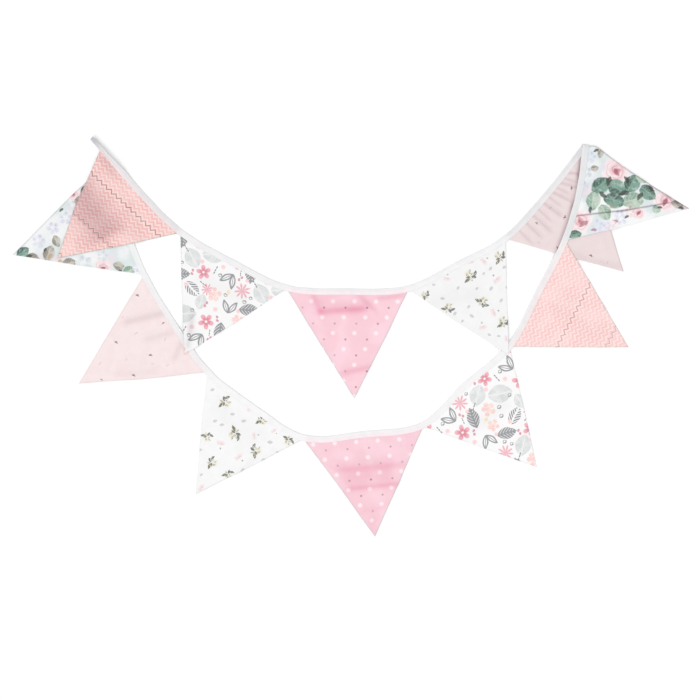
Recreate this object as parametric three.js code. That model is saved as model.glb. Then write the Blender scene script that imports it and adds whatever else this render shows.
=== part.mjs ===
// A string of fabric bunting, lying on a flat surface: twelve triangular cotton pennants, their top
// edges sewn inside one white tape that is folded over them. The string is turned back on itself at
// the upper right, so it lies in two swags, and its two ends meet at the upper left.
//
// Millimetres. X runs to the right of the layout, Y up the layout and Z up from the surface. The
// origin is on the surface, under the middle of the layout. The seam line is the tape's inner edge,
// where the pennants come out of it. The layout is drawn about a point near its middle and centred
// at the end.

import * as THREE from 'three';

// Cloth and tape
const clothThickness = 1.2;
const tapeWidth = 10;
const tapeThickness = 3.2;
const tapeWall = 0.65;
const tapeEdgeRound = 0.5;
const tuckDepth = 7; // how far a pennant reaches up inside the tape
const pennantGap = 7; // bare tape between two pennants
const stackGap = 0.35; // air between two layers that lie on each other

// How cloth comes down off what it lies on, and off the tape that holds it
const shelfMargin = 12; // still at full height this far past an edge below
const shelfReach = 24; // then down to the surface over this length
const besideReach = 50; // what a pennant lies on lifts its tape this far past it too
const riseLength = 16; // from the tape's slot down to the cloth's own level
const clothRise = (tapeThickness - clothThickness) / 2;

// The turn at the upper right, where the tape folds over onto itself
const foldPoint = [378.5, 301]; // where the seam line turns over
const clearBeforeFold = 10; // bare tape on the lower layer
const clearAfterFold = 3; // bare tape on the upper layer
const foldSteps = 6;

// The two ends
const upperEnd = [-418, 314];
const lowerEnd = [-404.5, 278.5];
const lowerLastKnot = [-401, 269];
const endRollDegrees = 62; // the upper end stands nearly on its edge
const endStraight = 9; // and runs straight for this far before it rolls flat
const endSteps = 4;

// How finely a pennant's triangle is divided, along each side
const clothSteps = 16;

// The pennants in order along the string. start is where its stretch of seam begins; it ends where
// the next one begins. sag is how far that stretch bows towards the pennants, tip is the free point,
// and startBow and endBow are how far its two long sides bulge, at a share of the way to the tip.
// over names the pennants that it lies on.
const upperPennants = [
  { name: 'pennant_01_zigzag', cloth: 'zigzag', start: [-403, 294], sag: 3, tip: [-471, 124],
    startBow: { out: 3.5, at: 0.6 }, endBow: { out: 1.5, at: 0.5 }, over: ['pennant_12_rose'] },
  { name: 'pennant_02_woodland', cloth: 'woodland', start: [-276, 162], sag: 4.5, tip: [-267, -30],
    startBow: { out: 1, at: 0.5 }, endBow: { out: 1, at: 0.5 }, over: ['pennant_11_pale'] },
  { name: 'pennant_03_dotted', cloth: 'dotted', start: [-104, 72], sag: 5.5, tip: [5, -100],
    startBow: { out: 0.5, at: 0.5 }, endBow: { out: 1, at: 0.5 }, over: [] },
  { name: 'pennant_04_sprig', cloth: 'sprig', start: [93, 71], sag: 2.5, tip: [252, -30],
    startBow: { out: 1.5, at: 0.5 }, endBow: { out: 0, at: 0.5 },
    over: ['pennant_07_zigzag', 'pennant_08_woodland'] },
  { name: 'pennant_05_pale', cloth: 'pale', start: [250, 152], sag: 4.5, tip: [436, 103],
    startBow: { out: 1, at: 0.5 }, endBow: { out: 2, at: 0.4 }, over: [] },
];
const lowerPennants = [
  { name: 'pennant_06_rose', cloth: 'rose', start: foldPoint, sag: 6, tip: [541, 204],
    startBow: { out: 13, at: 0.08 }, endBow: { out: 2.5, at: 0.5 }, over: ['pennant_05_pale'] },
  { name: 'pennant_07_zigzag', cloth: 'zigzag', start: [346, 151], sag: 1.5, tip: [444, -18],
    startBow: { out: 1, at: 0.4 }, endBow: { out: 0.5, at: 0.5 }, over: ['pennant_05_pale'] },
  { name: 'pennant_08_woodland', cloth: 'woodland', start: [257, -20], sag: -1.2, tip: [297, -210],
    startBow: { out: 1, at: 0.5 }, endBow: { out: 0.5, at: 0.5 }, over: [] },
  { name: 'pennant_09_dotted', cloth: 'dotted', start: [116.5, -147.5], sag: 5, tip: [38, -321],
    startBow: { out: 0.5, at: 0.5 }, endBow: { out: -1, at: 0.5 }, over: [] },
  { name: 'pennant_10_sprig', cloth: 'sprig', start: [-77, -168], sag: 6, tip: [-249, -253],
    startBow: { out: 1, at: 0.5 }, endBow: { out: 1.5, at: 0.4 }, over: [] },
  { name: 'pennant_11_pale', cloth: 'pale', start: [-233, -61], sag: 4, tip: [-436, -76],
    startBow: { out: 2, at: 0.5 }, endBow: { out: 0.5, at: 0.5 }, over: [] },
  { name: 'pennant_12_rose', cloth: 'rose', start: [-336, 96], sag: 2, tip: [-542, 130],
    startBow: { out: 1, at: 0.5 }, endBow: { out: 1.5, at: 0.4 }, over: [] },
];

// The folds and puckers that show in each cloth: a ridge along a line, with its height and half width.
const ridges = [
  { on: 'pennant_01_zigzag', from: [-392, 204], to: [-334, 166], height: 1.6, half: 12 },
  { on: 'pennant_02_woodland', from: [-236, 102], to: [-170, 68], height: 1.6, half: 12 },
  { on: 'pennant_03_dotted', from: [-50, 49], to: [42, 43], height: 3, half: 10 },
  { on: 'pennant_03_dotted', from: [-8, -56], to: [24, -48], height: 1.8, half: 9 },
  { on: 'pennant_04_sprig', from: [132, 66], to: [196, 74], height: 1.8, half: 12 },
  { on: 'pennant_05_pale', from: [307, 213], to: [333, 207], height: 1.8, half: 6 },
  { on: 'pennant_05_pale', from: [290, 192], to: [321, 180], height: 2, half: 6 },
  { on: 'pennant_05_pale', from: [275, 173], to: [308, 161], height: 1.8, half: 6 },
  { on: 'pennant_06_rose', from: [366, 194], to: [500, 213], height: 3.2, half: 8 },
  { on: 'pennant_06_rose', from: [402, 290], to: [468, 246], height: 2.4, half: 12 },
  { on: 'pennant_07_zigzag', from: [334, 60], to: [396, 12], height: 1.6, half: 13 },
  { on: 'pennant_08_woodland', from: [172, -152], to: [240, -104], height: 1.8, half: 12 },
  { on: 'pennant_09_dotted', from: [-18, -209], to: [78, -201], height: 2.6, half: 10 },
  { on: 'pennant_09_dotted', from: [2, -240], to: [72, -233], height: 2, half: 8 },
  { on: 'pennant_10_sprig', from: [-216, -112], to: [-150, -160], height: 1.6, half: 12 },
  { on: 'pennant_11_pale', from: [-357, 28], to: [-306, 40], height: 2.4, half: 8 },
  { on: 'pennant_11_pale', from: [-326, 0], to: [-292, 8], height: 1.6, half: 7 },
  { on: 'pennant_11_pale', from: [-374, -56], to: [-322, -52], height: 1.6, half: 8 },
  { on: 'pennant_12_rose', from: [-500, 160], to: [-470, 190], height: 1.6, half: 9 },
];
const ridgeFoot = 0.05; // the share of a ridge's height below which the cloth lies flat
const bowFade = 1.8; // how fast a side's bulge dies away towards the tip

const clothFinish = {
  zigzag: { color: 0xf3b4ae, roughness: 0.9 },
  woodland: { color: 0xf3efee, roughness: 0.9 },
  dotted: { color: 0xf7bccb, roughness: 0.9 },
  sprig: { color: 0xf5f4f0, roughness: 0.9 },
  pale: { color: 0xf6e1e1, roughness: 0.9 },
  rose: { color: 0xe4e6e0, roughness: 0.9 },
  tape: { color: 0xf4f2f2, roughness: 0.85 },
};

const upperSide = -1; // pennants lie to the right of the way the string runs
const lowerSide = 1; // and to its left once it has turned over

const mix = (a, b, share) => a + (b - a) * share;
const pointOf = (pair) => new THREE.Vector2(pair[0], pair[1]);
const leftOf = (direction) => new THREE.Vector2(-direction.y, direction.x);

// A smooth line through the knots that can be read by the length run along it.
function seamThrough(knots) {
  const curve = new THREE.CatmullRomCurve3(knots.map((k) => new THREE.Vector3(k.x, k.y, 0)), false, 'centripetal');
  const samplesPerSpan = 60;
  const count = (knots.length - 1) * samplesPerSpan;
  curve.arcLengthDivisions = count;
  const lengths = curve.getLengths(count);
  const total = lengths[count];
  return {
    total,
    lengthAtKnot: (index) => lengths[index * samplesPerSpan],
    at(length) {
      const share = THREE.MathUtils.clamp(length / total, 0, 1);
      const place = curve.getPointAt(share);
      const way = curve.getTangentAt(share);
      return { place: new THREE.Vector2(place.x, place.y), way: new THREE.Vector2(way.x, way.y) };
    },
  };
}

// One half of the string: its seam line, and where each pennant's stretch of it begins and ends.
function layStrand(pennants, side, before, after, firstClear, lastClear) {
  const knots = before.map(pointOf);
  pennants.forEach((pennant, i) => {
    const from = pointOf(pennant.start);
    const to = pointOf(i + 1 < pennants.length ? pennants[i + 1].start : after[0]);
    const bow = leftOf(to.clone().sub(from).normalize()).multiplyScalar(side * pennant.sag);
    pennant.knot = knots.length;
    knots.push(from, from.clone().add(to).multiplyScalar(0.5).add(bow));
  });
  knots.push(...after.map(pointOf));
  const seam = seamThrough(knots);
  pennants.forEach((pennant, i) => {
    const clearStart = i === 0 ? firstClear : pennantGap / 2;
    const clearEnd = i === pennants.length - 1 ? lastClear : pennantGap / 2;
    pennant.seam = seam;
    pennant.side = side;
    pennant.from = seam.lengthAtKnot(pennant.knot) + clearStart;
    pennant.to = seam.lengthAtKnot(pennant.knot + 2) - clearEnd;
  });
  return { seam, side, pennants };
}

const upper = layStrand(upperPennants, upperSide, [upperEnd], [foldPoint], 0, clearBeforeFold);
const lower = layStrand(lowerPennants, lowerSide, [], [lowerLastKnot, lowerEnd], clearAfterFold, 0);
const allPennants = [...upperPennants, ...lowerPennants];
const pennantNamed = (name) => allPennants.find((pennant) => pennant.name === name);

// The unit vector away from the pennants, across the tape.
const outwardAt = (side, way) => leftOf(way).multiplyScalar(-side);

function segmentDistance(point, a, b) {
  const run = b.clone().sub(a);
  const share = THREE.MathUtils.clamp(point.clone().sub(a).dot(run) / run.lengthSq(), 0, 1);
  return point.distanceTo(a.clone().addScaledVector(run, share));
}

// How far a point is outside a pennant's triangle: negative when it is inside.
function triangleDistance(point, corners) {
  const turn = Math.sign(corners[1].clone().sub(corners[0]).cross(corners[2].clone().sub(corners[0])));
  let inside = true;
  let nearest = Infinity;
  corners.forEach((corner, i) => {
    const next = corners[(i + 1) % 3];
    nearest = Math.min(nearest, segmentDistance(point, corner, next));
    if (next.clone().sub(corner).cross(point.clone().sub(corner)) * turn < 0) inside = false;
  });
  return inside ? -nearest : nearest;
}

function tapeDistance(point, pennant) {
  const steps = 12;
  const overrun = 6; // the tape goes on past the pennant's own stretch
  const line = [];
  for (let i = 0; i <= steps; i += 1) {
    const { place, way } = pennant.seam.at(mix(pennant.from - overrun, pennant.to + overrun, i / steps));
    line.push(place.addScaledVector(outwardAt(pennant.side, way), tapeWidth / 2));
  }
  let nearest = Infinity;
  for (let i = 0; i < steps; i += 1) nearest = Math.min(nearest, segmentDistance(point, line[i], line[i + 1]));
  return nearest - tapeWidth / 2;
}

// The level that cloth rests at over the pennants and tape below it.
function restLevel(point, names, extraMargin) {
  let level = 0;
  names.forEach((name) => {
    const below = pennantNamed(name);
    const corners = [below.seam.at(below.from).place, below.seam.at(below.to).place, pointOf(below.tip)];
    const shelves = [
      { top: clothThickness, away: triangleDistance(point, corners) },
      { top: tapeThickness, away: tapeDistance(point, below) },
    ];
    shelves.forEach(({ top, away }) => {
      const past = (away - shelfMargin - extraMargin) / shelfReach;
      level = Math.max(level, (top + stackGap) * (1 - THREE.MathUtils.smoothstep(past, 0, 1)));
    });
  });
  return level;
}

// The tape's underside at a length along a strand, from what the pennants beside it lie on.
function tapeLevel(strand, length) {
  const { place, way } = strand.seam.at(length);
  const middle = place.addScaledVector(outwardAt(strand.side, way), tapeWidth / 2);
  const beside = strand.pennants.filter((pennant) =>
    length > pennant.from - besideReach && length < pennant.to + besideReach);
  return Math.max(0, ...beside.map((pennant) => restLevel(middle, pennant.over, tapeWidth / 2)));
}

function ridgeHeight(point, name) {
  let height = 0;
  ridges.filter((ridge) => ridge.on === name).forEach((ridge) => {
    const away = segmentDistance(point, pointOf(ridge.from), pointOf(ridge.to)) / ridge.half;
    height += ridge.height * Math.max(0, (Math.exp(-away * away) - ridgeFoot) / (1 - ridgeFoot));
  });
  return height;
}

// How far a long side bulges: up to bow.out at bow.at of its length, then less and less to the tip.
function bowOut(bow, share) {
  const rising = THREE.MathUtils.smoothstep(share, 0, bow.at);
  const fading = ((1 - share) / (1 - bow.at)) ** bowFade;
  return bow.out * (share < bow.at ? rising : fading);
}

// Turns rings or grids of points into one closed mesh whose faces point out.
function closedMesh(name, cloth, points, faces) {
  const geometry = new THREE.BufferGeometry();
  let volume = 0;
  faces.forEach(([a, b, c]) => {
    volume += points[a].dot(points[b].clone().cross(points[c]));
  });
  const outward = volume > 0 ? faces : faces.map(([a, b, c]) => [a, c, b]);
  geometry.setAttribute('position', new THREE.Float32BufferAttribute(points.flatMap((p) => [p.x, p.y, p.z]), 3));
  geometry.setIndex(outward.flat());
  geometry.computeVertexNormals();
  const mesh = new THREE.Mesh(geometry, new THREE.MeshStandardMaterial({ ...clothFinish[cloth], metalness: 0 }));
  mesh.name = name;
  return mesh;
}

// The underside of a pennant as rows of points: a row inside the tape, one on the seam line, and
// then shorter and shorter rows down to the tip.
function pennantRows(pennant, strand) {
  const tip = pointOf(pennant.tip);
  const startCorner = pennant.seam.at(pennant.from).place;
  const endCorner = pennant.seam.at(pennant.to).place;
  const drop = Math.abs(endCorner.clone().sub(startCorner).normalize().cross(tip.clone().sub(startCorner)));
  const awayFrom = (corner, other) => {
    const across = leftOf(tip.clone().sub(corner).normalize());
    return across.dot(other.clone().sub(corner)) > 0 ? across.negate() : across;
  };
  const startOut = awayFrom(startCorner, endCorner);
  const endOut = awayFrom(endCorner, startCorner);
  const rows = [[], []];
  for (let i = 0; i <= clothSteps; i += 1) {
    const length = mix(pennant.from, pennant.to, i / clothSteps);
    const { place, way } = pennant.seam.at(length);
    const z = tapeLevel(strand, length) + clothRise;
    const tucked = place.clone().addScaledVector(outwardAt(pennant.side, way), tuckDepth);
    rows[0].push(new THREE.Vector3(tucked.x, tucked.y, z));
    rows[1].push(new THREE.Vector3(place.x, place.y, z));
  }
  for (let j = 1; j <= clothSteps; j += 1) {
    const down = j / clothSteps;
    const row = [];
    for (let i = 0; i <= clothSteps - j; i += 1) {
      const along = j === clothSteps ? 0.5 : i / (clothSteps - j);
      const length = mix(pennant.from, pennant.to, along);
      const point = pennant.seam.at(length).place.lerp(tip, down);
      point.addScaledVector(startOut, (1 - along) * bowOut(pennant.startBow, down));
      point.addScaledVector(endOut, along * bowOut(pennant.endBow, down));
      const free = THREE.MathUtils.smoothstep(down * drop, 0, riseLength);
      const held = tapeLevel(strand, length) + clothRise;
      const lying = restLevel(point, pennant.over, 0) + ridgeHeight(point, pennant.name);
      row.push(new THREE.Vector3(point.x, point.y, mix(held, lying, free)));
    }
    rows.push(row);
  }
  return rows;
}

function makePennant(pennant, strand) {
  const rows = pennantRows(pennant, strand);
  const points = [];
  const indexRows = rows.map((row) => row.map((p) => points.push(p) - 1));
  const count = points.length;
  for (let i = 0; i < count; i += 1) points.push(points[i].clone().setZ(points[i].z + clothThickness));
  const under = [];
  indexRows.slice(0, -1).forEach((row, r) => {
    const next = indexRows[r + 1];
    for (let i = 0; i + 1 < row.length; i += 1) {
      under.push([row[i], next[i], row[i + 1]]);
      if (i + 1 < next.length) under.push([row[i + 1], next[i], next[i + 1]]);
    }
  });
  const rim = [
    ...indexRows[0],
    ...indexRows.slice(1).map((row) => row[row.length - 1]),
    ...indexRows.slice(1, -1).reverse().map((row) => row[0]),
  ];
  const faces = [...under, ...under.map(([a, b, c]) => [a + count, c + count, b + count])];
  rim.forEach((a, i) => {
    const b = rim[(i + 1) % rim.length];
    faces.push([a, b, b + count], [a, b + count, a + count]);
  });
  return closedMesh(pennant.name, pennant.cloth, points, faces);
}

// The tape's section: across runs from the seam line to the folded edge, up through its thickness.
const tapeSection = [
  [0, 0], [tapeWidth - tapeEdgeRound, 0],
  [tapeWidth, tapeEdgeRound], [tapeWidth, tapeThickness - tapeEdgeRound],
  [tapeWidth - tapeEdgeRound, tapeThickness], [0, tapeThickness],
  [0, tapeThickness - tapeWall], [tapeWidth - tapeWall, tapeThickness - tapeWall],
  [tapeWidth - tapeWall, tapeWall], [0, tapeWall],
];

// One ring of the tape's section. seamAt is the seam line at mid thickness, across points away from
// the pennants and up points out of the face that was on top before the fold.
function tapeRing(seamAt, across, up) {
  return tapeSection.map(([a, h]) =>
    seamAt.clone().addScaledVector(across, a).addScaledVector(up, h - tapeThickness / 2));
}

function flatRing(strand, length, up) {
  const { place, way } = strand.seam.at(length);
  const outward = outwardAt(strand.side, way);
  const z = tapeLevel(strand, length) + tapeThickness / 2;
  return tapeRing(new THREE.Vector3(place.x, place.y, z), new THREE.Vector3(outward.x, outward.y, 0), up);
}

// At the upper end the tape rolls over onto its edge, about its own middle.
function rolledRing(strand, length, roll) {
  const { place, way } = strand.seam.at(length);
  const outward = outwardAt(strand.side, way);
  const flat = new THREE.Vector3(outward.x, outward.y, 0);
  const half = tapeWidth / 2;
  const lift = (tapeThickness / 2) * Math.cos(roll) + half * Math.sin(roll);
  const middle = new THREE.Vector3(place.x, place.y, tapeLevel(strand, length) + lift).addScaledVector(flat, half);
  const across = flat.clone().multiplyScalar(Math.cos(roll)).setZ(Math.sin(roll));
  const up = flat.clone().multiplyScalar(-Math.sin(roll)).setZ(Math.cos(roll));
  return tapeRing(middle.addScaledVector(across, -half), across, up);
}

// Round the fold the tape bends about a line that halves the angle between its two directions.
function foldRings() {
  const arriving = upper.seam.at(upper.seam.total).way;
  const leaving = lower.seam.at(0).way;
  const foldLine = arriving.clone().add(leaving).normalize();
  const skew = Math.abs(arriving.cross(foldLine));
  const across = new THREE.Vector3(-foldLine.x, -foldLine.y, 0).divideScalar(skew);
  const past = leftOf(foldLine);
  const radius = (tapeThickness + stackGap) / 2;
  const rings = [];
  for (let i = 0; i <= foldSteps; i += 1) {
    const turn = (Math.PI * i) / foldSteps;
    const reach = radius * Math.sin(turn);
    const seamAt = new THREE.Vector3(
      foldPoint[0] + past.x * reach,
      foldPoint[1] + past.y * reach,
      tapeThickness / 2 + radius * (1 - Math.cos(turn)),
    );
    const up = new THREE.Vector3(-past.x * Math.sin(turn), -past.y * Math.sin(turn), Math.cos(turn));
    rings.push(tapeRing(seamAt, across, up));
  }
  return rings;
}

function tapeRings() {
  const up = new THREE.Vector3(0, 0, 1);
  const down = new THREE.Vector3(0, 0, -1);
  const rings = [];
  const endRoll = THREE.MathUtils.degToRad(endRollDegrees);
  rings.push(rolledRing(upper, 0, endRoll));
  for (let i = 0; i < endSteps; i += 1) {
    const length = mix(endStraight, upper.pennants[0].from, i / endSteps);
    rings.push(rolledRing(upper, length, endRoll * (1 - THREE.MathUtils.smoothstep(i / endSteps, 0, 1))));
  }
  const alongPennants = (strand, way) => {
    strand.pennants.forEach((pennant) => {
      for (let i = 0; i <= clothSteps; i += 1) {
        rings.push(flatRing(strand, mix(pennant.from, pennant.to, i / clothSteps), way));
      }
    });
  };
  alongPennants(upper, up);
  rings.push(...foldRings());
  alongPennants(lower, down);
  rings.push(flatRing(lower, lower.seam.total, down));
  return rings;
}

function makeTape() {
  const rings = tapeRings();
  const size = tapeSection.length;
  const faces = [];
  for (let r = 0; r + 1 < rings.length; r += 1) {
    for (let i = 0; i < size; i += 1) {
      const a = r * size + i;
      const b = r * size + ((i + 1) % size);
      faces.push([a, b, b + size], [a, b + size, a + size]);
    }
  }
  const outline = tapeSection.map(pointOf);
  const last = (rings.length - 1) * size;
  THREE.ShapeUtils.triangulateShape(outline, []).forEach(([a, b, c]) => {
    faces.push([a, c, b], [last + a, last + b, last + c]);
  });
  return closedMesh('tape', 'tape', rings.flat(), faces);
}

const bunting = new THREE.Group();
bunting.add(makeTape());
upperPennants.forEach((pennant) => bunting.add(makePennant(pennant, upper)));
lowerPennants.forEach((pennant) => bunting.add(makePennant(pennant, lower)));

const middle = new THREE.Box3().setFromObject(bunting).getCenter(new THREE.Vector3());
bunting.children.forEach((mesh) => mesh.geometry.translate(-middle.x, -middle.y, 0));

export default bunting;
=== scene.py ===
import math

import bpy
import numpy as np
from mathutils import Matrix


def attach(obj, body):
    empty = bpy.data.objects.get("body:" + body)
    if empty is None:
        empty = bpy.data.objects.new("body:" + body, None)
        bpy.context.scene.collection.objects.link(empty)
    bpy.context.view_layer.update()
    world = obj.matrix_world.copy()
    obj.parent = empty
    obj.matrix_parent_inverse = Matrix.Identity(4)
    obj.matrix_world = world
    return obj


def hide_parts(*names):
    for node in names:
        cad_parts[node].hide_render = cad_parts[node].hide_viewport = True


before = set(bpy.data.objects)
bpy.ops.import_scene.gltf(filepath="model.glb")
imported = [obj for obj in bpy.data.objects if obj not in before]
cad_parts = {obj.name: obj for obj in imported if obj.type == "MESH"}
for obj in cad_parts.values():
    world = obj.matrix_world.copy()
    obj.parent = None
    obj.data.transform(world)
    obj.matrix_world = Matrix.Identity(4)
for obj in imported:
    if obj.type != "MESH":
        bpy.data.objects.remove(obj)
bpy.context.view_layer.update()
scene = bpy.context.scene
mm = 0.001
layoutShift = np.array([0.5, 0.943])  # from the layout's own zero to the frame's
print("frame loaded with", len(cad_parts), "nodes")


# Camera, light and floor

studio = {
    "lens": 100,
    "sensor": 36,
    "lookAt": (-0.0015, -0.02146, 0.002),
    "widthSeen": 1.12,
    "skyStrength": 0.78,
    "keyStrength": 1.16,
    "keyTurn": (21, 0, -50),  # degrees, so that the key light comes from the lower left
    "keySpread": 48,
    "floorColour": (0.93, 0.93, 0.93),
    "floorRoughness": 0.7,
    "floorHalf": 3.0,
    "floorLevel": -0.0002,
}


def placeObject(name, data):
    thing = bpy.data.objects.new(name, data)
    scene.collection.objects.link(thing)
    return thing


cameraData = bpy.data.cameras.new("camera")
cameraData.type = "PERSP"
cameraData.lens = studio["lens"]
cameraData.sensor_width = studio["sensor"]
cameraData.clip_end = 20
camera = placeObject("camera", cameraData)
lookX, lookY, lookZ = studio["lookAt"]
camera.location = (lookX, lookY, lookZ + studio["widthSeen"] * studio["lens"] / studio["sensor"])
scene.camera = camera

keyData = bpy.data.lights.new("key", "SUN")
keyData.energy = studio["keyStrength"]
keyData.angle = math.radians(studio["keySpread"])
placeObject("key", keyData).rotation_euler = [math.radians(turn) for turn in studio["keyTurn"]]

world = bpy.data.worlds.new("studio")
world.use_nodes = True
sky = world.node_tree.nodes["Background"].inputs
sky["Color"].default_value = (1, 1, 1, 1)
sky["Strength"].default_value = studio["skyStrength"]
scene.world = world
scene.view_settings.view_transform = "Standard"

floorMesh = bpy.data.meshes.new("floor")
half = studio["floorHalf"]
floorCorners = [(x * half, y * half, studio["floorLevel"]) for x, y in ((-1, -1), (1, -1), (1, 1), (-1, 1))]
floorMesh.from_pydata(floorCorners, [], [(0, 1, 2, 3)])
floorMaterial = bpy.data.materials.new("studio floor")
floorMaterial.use_nodes = True
floorShader = floorMaterial.node_tree.nodes["Principled BSDF"].inputs
floorShader["Base Color"].default_value = (*studio["floorColour"], 1)
floorShader["Roughness"].default_value = studio["floorRoughness"]
floorMesh.materials.append(floorMaterial)
floor = placeObject("floor", floorMesh)
print("camera, light and floor are in place")


# The layout: where the string runs and what hangs from it

# Cloth and tape as they really are, thinner than the solids that stand for them
sizes = {
    "cloth": 0.7,
    "hem": 0.2,  # the turned edge makes a side this much thicker
    "hemWidth": 6,
    "tape": 2.2,
    "tapeWidth": 10,
    "tapeWall": 0.62,
    "tapeBeyond": 6,  # the tape runs on this far past a pennant's corners where others lie over it
    "tuck": 7,
    "endRoll": 58,  # degrees: the tape's upper end stands nearly on its edge
    "rollFrom": 8,  # and lies down between these lengths along the first pennant
    "rollTo": 80,
    "pennantGap": 7,
    "stackGap": 0.2,
    "shelfMargin": 6,  # cloth that lies over another stays up this far past it, and comes down in the reach
    "shelfReach": 18,
    "besideReach": 50,
    "rise": 16,  # how far below the seam a pennant's cloth reaches the level that it lies at
}
foldPoint = (380.3, 303.2)
# A side bows out by startOut or endOut, most at that share of its way to the tip
# tone makes a whole pennant lighter or darker: partly its dye, partly painted shade
pennantColumns = ("name", "print", "start", "sag", "tip", "startOut", "startAt", "endOut", "endAt", "over",
                  "tone")
upperTable = [
    ("01", "zigzag", (-402, 298), 4.4, (-471, 124), 3.5, 0.6, 1.5, 0.5, ("12",), 0.94),
    ("02", "woodland", (-276, 162), 4.5, (-267, -30), 1, 0.5, 1, 0.5, ("11",), 0.98),
    ("03", "dotted", (-104, 72), 5.5, (5, -100), 0.5, 0.5, 1, 0.5, (), 1.0),
    ("04", "sprig", (93, 71), 2.5, (252, -30), 1.5, 0.5, 0, 0.5, ("07", "08"), 0.95),
    ("05", "pale", (250, 152), 4.5, (436, 103), 1, 0.5, 2, 0.4, (), 0.89),
]
lowerTable = [
    ("06", "rose", foldPoint, 6, (541, 204), 6.4, 0.08, 2.5, 0.5, ("05",), 0.97),
    ("07", "zigzag", (346, 151), 1.5, (444, -18), 1, 0.4, 0.5, 0.5, ("05",), 0.98),
    ("08", "woodland", (257, -20), -1.2, (297, -210), 1, 0.5, 0.5, 0.5, (), 1.0),
    ("09", "dotted", (116.5, -147.5), 5, (38, -321), 0.5, 0.5, -1, 0.5, (), 0.99),
    ("10", "sprig", (-77, -168), 6, (-249, -253), 1, 0.5, 1.5, 0.4, (), 0.97),
    ("11", "pale", (-233, -61), 4, (-436, -76), 2, 0.5, 0.5, 0.5, (), 0.98),
    ("12", "rose", (-336, 96), 2, (-542, 130), 1, 0.5, 1.5, 0.4, (), 0.94),
]


def smoothStep(values, low, high):
    share = np.clip((values - low) / (high - low), 0, 1)
    return share * share * (3 - 2 * share)


def bell(values, centre, width):
    return np.exp(-((values - centre) / width) ** 2)


def mix(a, b, share):
    return a + (b - a) * share


def leftOf(ways):
    return np.stack([-ways[..., 1], ways[..., 0]], -1)


def unit(vectors):
    return vectors / np.linalg.norm(vectors, axis=-1, keepdims=True)


def seamThrough(knots):
    # A smooth line through the knots, with a table of the length run along it
    points = np.array(knots, float)
    ends = np.vstack([2 * points[0] - points[1], points, 2 * points[-1] - points[-2]])
    spans = []
    for before, a, b, after in zip(ends, ends[1:], ends[2:], ends[3:]):
        first, middle, last = [np.sum((q - p) ** 2) ** 0.25 for p, q in ((before, a), (a, b), (b, after))]
        out = ((a - before) / first - (b - before) / (first + middle) + (b - a) / middle) * middle
        into = ((b - a) / middle - (after - a) / (middle + last) + (after - b) / last) * middle
        spans.append([a, out, -3 * a + 3 * b - 2 * out - into, 2 * a - 2 * b + out + into])
    spans = np.array(spans)
    perSpan = 60
    steps = np.linspace(0, len(spans), len(spans) * perSpan + 1)
    seam = {"spans": spans, "steps": steps}
    places = placesAtStep(seam, steps)[0]
    seam["lengths"] = np.concatenate([[0], np.cumsum(np.linalg.norm(np.diff(places, axis=0), axis=1))])
    seam["atKnot"] = seam["lengths"][::perSpan]
    seam["total"] = seam["lengths"][-1]
    return seam


def placesAtStep(seam, steps):
    index = np.minimum(steps.astype(int), len(seam["spans"]) - 1)
    t = (steps - index)[:, None]
    c0, c1, c2, c3 = [seam["spans"][index, power] for power in range(4)]
    return c0 + t * (c1 + t * (c2 + t * c3)), unit(c1 + t * (2 * c2 + 3 * t * c3))


def seamAt(seam, lengths):
    return placesAtStep(seam, np.interp(np.atleast_1d(lengths), seam["lengths"], seam["steps"]))


def layStrand(table, side, before, after, firstClear, lastClear):
    # A row of pennants on its seam, with each one's stretch of the seam and its three corners
    pennants = [dict(zip(pennantColumns, row)) for row in table]
    knots = list(before)
    for i, pennant in enumerate(pennants):
        start = np.array(pennant["start"], float)
        end = np.array(pennants[i + 1]["start"] if i + 1 < len(pennants) else after[0], float)
        pennant["knot"] = len(knots)
        knots += [start, (start + end) / 2 + leftOf(unit(end - start)) * side * pennant["sag"]]
    seam = seamThrough(knots + list(after))
    strand = {"seam": seam, "side": side, "pennants": pennants}
    for i, pennant in enumerate(pennants):
        clearStart = firstClear if i == 0 else sizes["pennantGap"] / 2
        clearEnd = lastClear if i + 1 == len(pennants) else sizes["pennantGap"] / 2
        pennant["strand"] = strand
        pennant["from"] = seam["atKnot"][pennant["knot"]] + clearStart
        pennant["to"] = seam["atKnot"][pennant["knot"] + 2] - clearEnd
        corners = seamAt(seam, [pennant["from"], pennant["to"]])[0]
        pennant["corners"] = np.vstack([corners, [pennant["tip"]]])
    return strand


upper = layStrand(upperTable, -1, [(-416.8, 315)], [foldPoint], 0, 10)
lower = layStrand(lowerTable, 1, [], [(-401, 269), (-404.5, 278.5)], 0.4, 0)
pennantsByName = {p["name"]: p for p in upper["pennants"] + lower["pennants"]}


def outwardAt(strand, ways):
    return leftOf(ways) * -strand["side"]


def segmentDistance(points, a, b):
    run = b - a
    share = np.clip((points - a) @ run / (run @ run), 0, 1)
    return np.linalg.norm(points - a - share[:, None] * run, axis=1)


def turnOf(a, b):
    return a[..., 0] * b[..., 1] - a[..., 1] * b[..., 0]


def triangleDistance(points, corners):
    # How far outside a triangle: negative inside it
    turn = np.sign(turnOf(corners[1] - corners[0], corners[2] - corners[0]))
    nearest = np.full(len(points), np.inf)
    inside = np.ones(len(points), bool)
    for a, b in zip(corners, np.roll(corners, -1, axis=0)):
        nearest = np.minimum(nearest, segmentDistance(points, a, b))
        inside &= turnOf(b - a, points - a) * turn >= 0
    return np.where(inside, -nearest, nearest)
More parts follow.
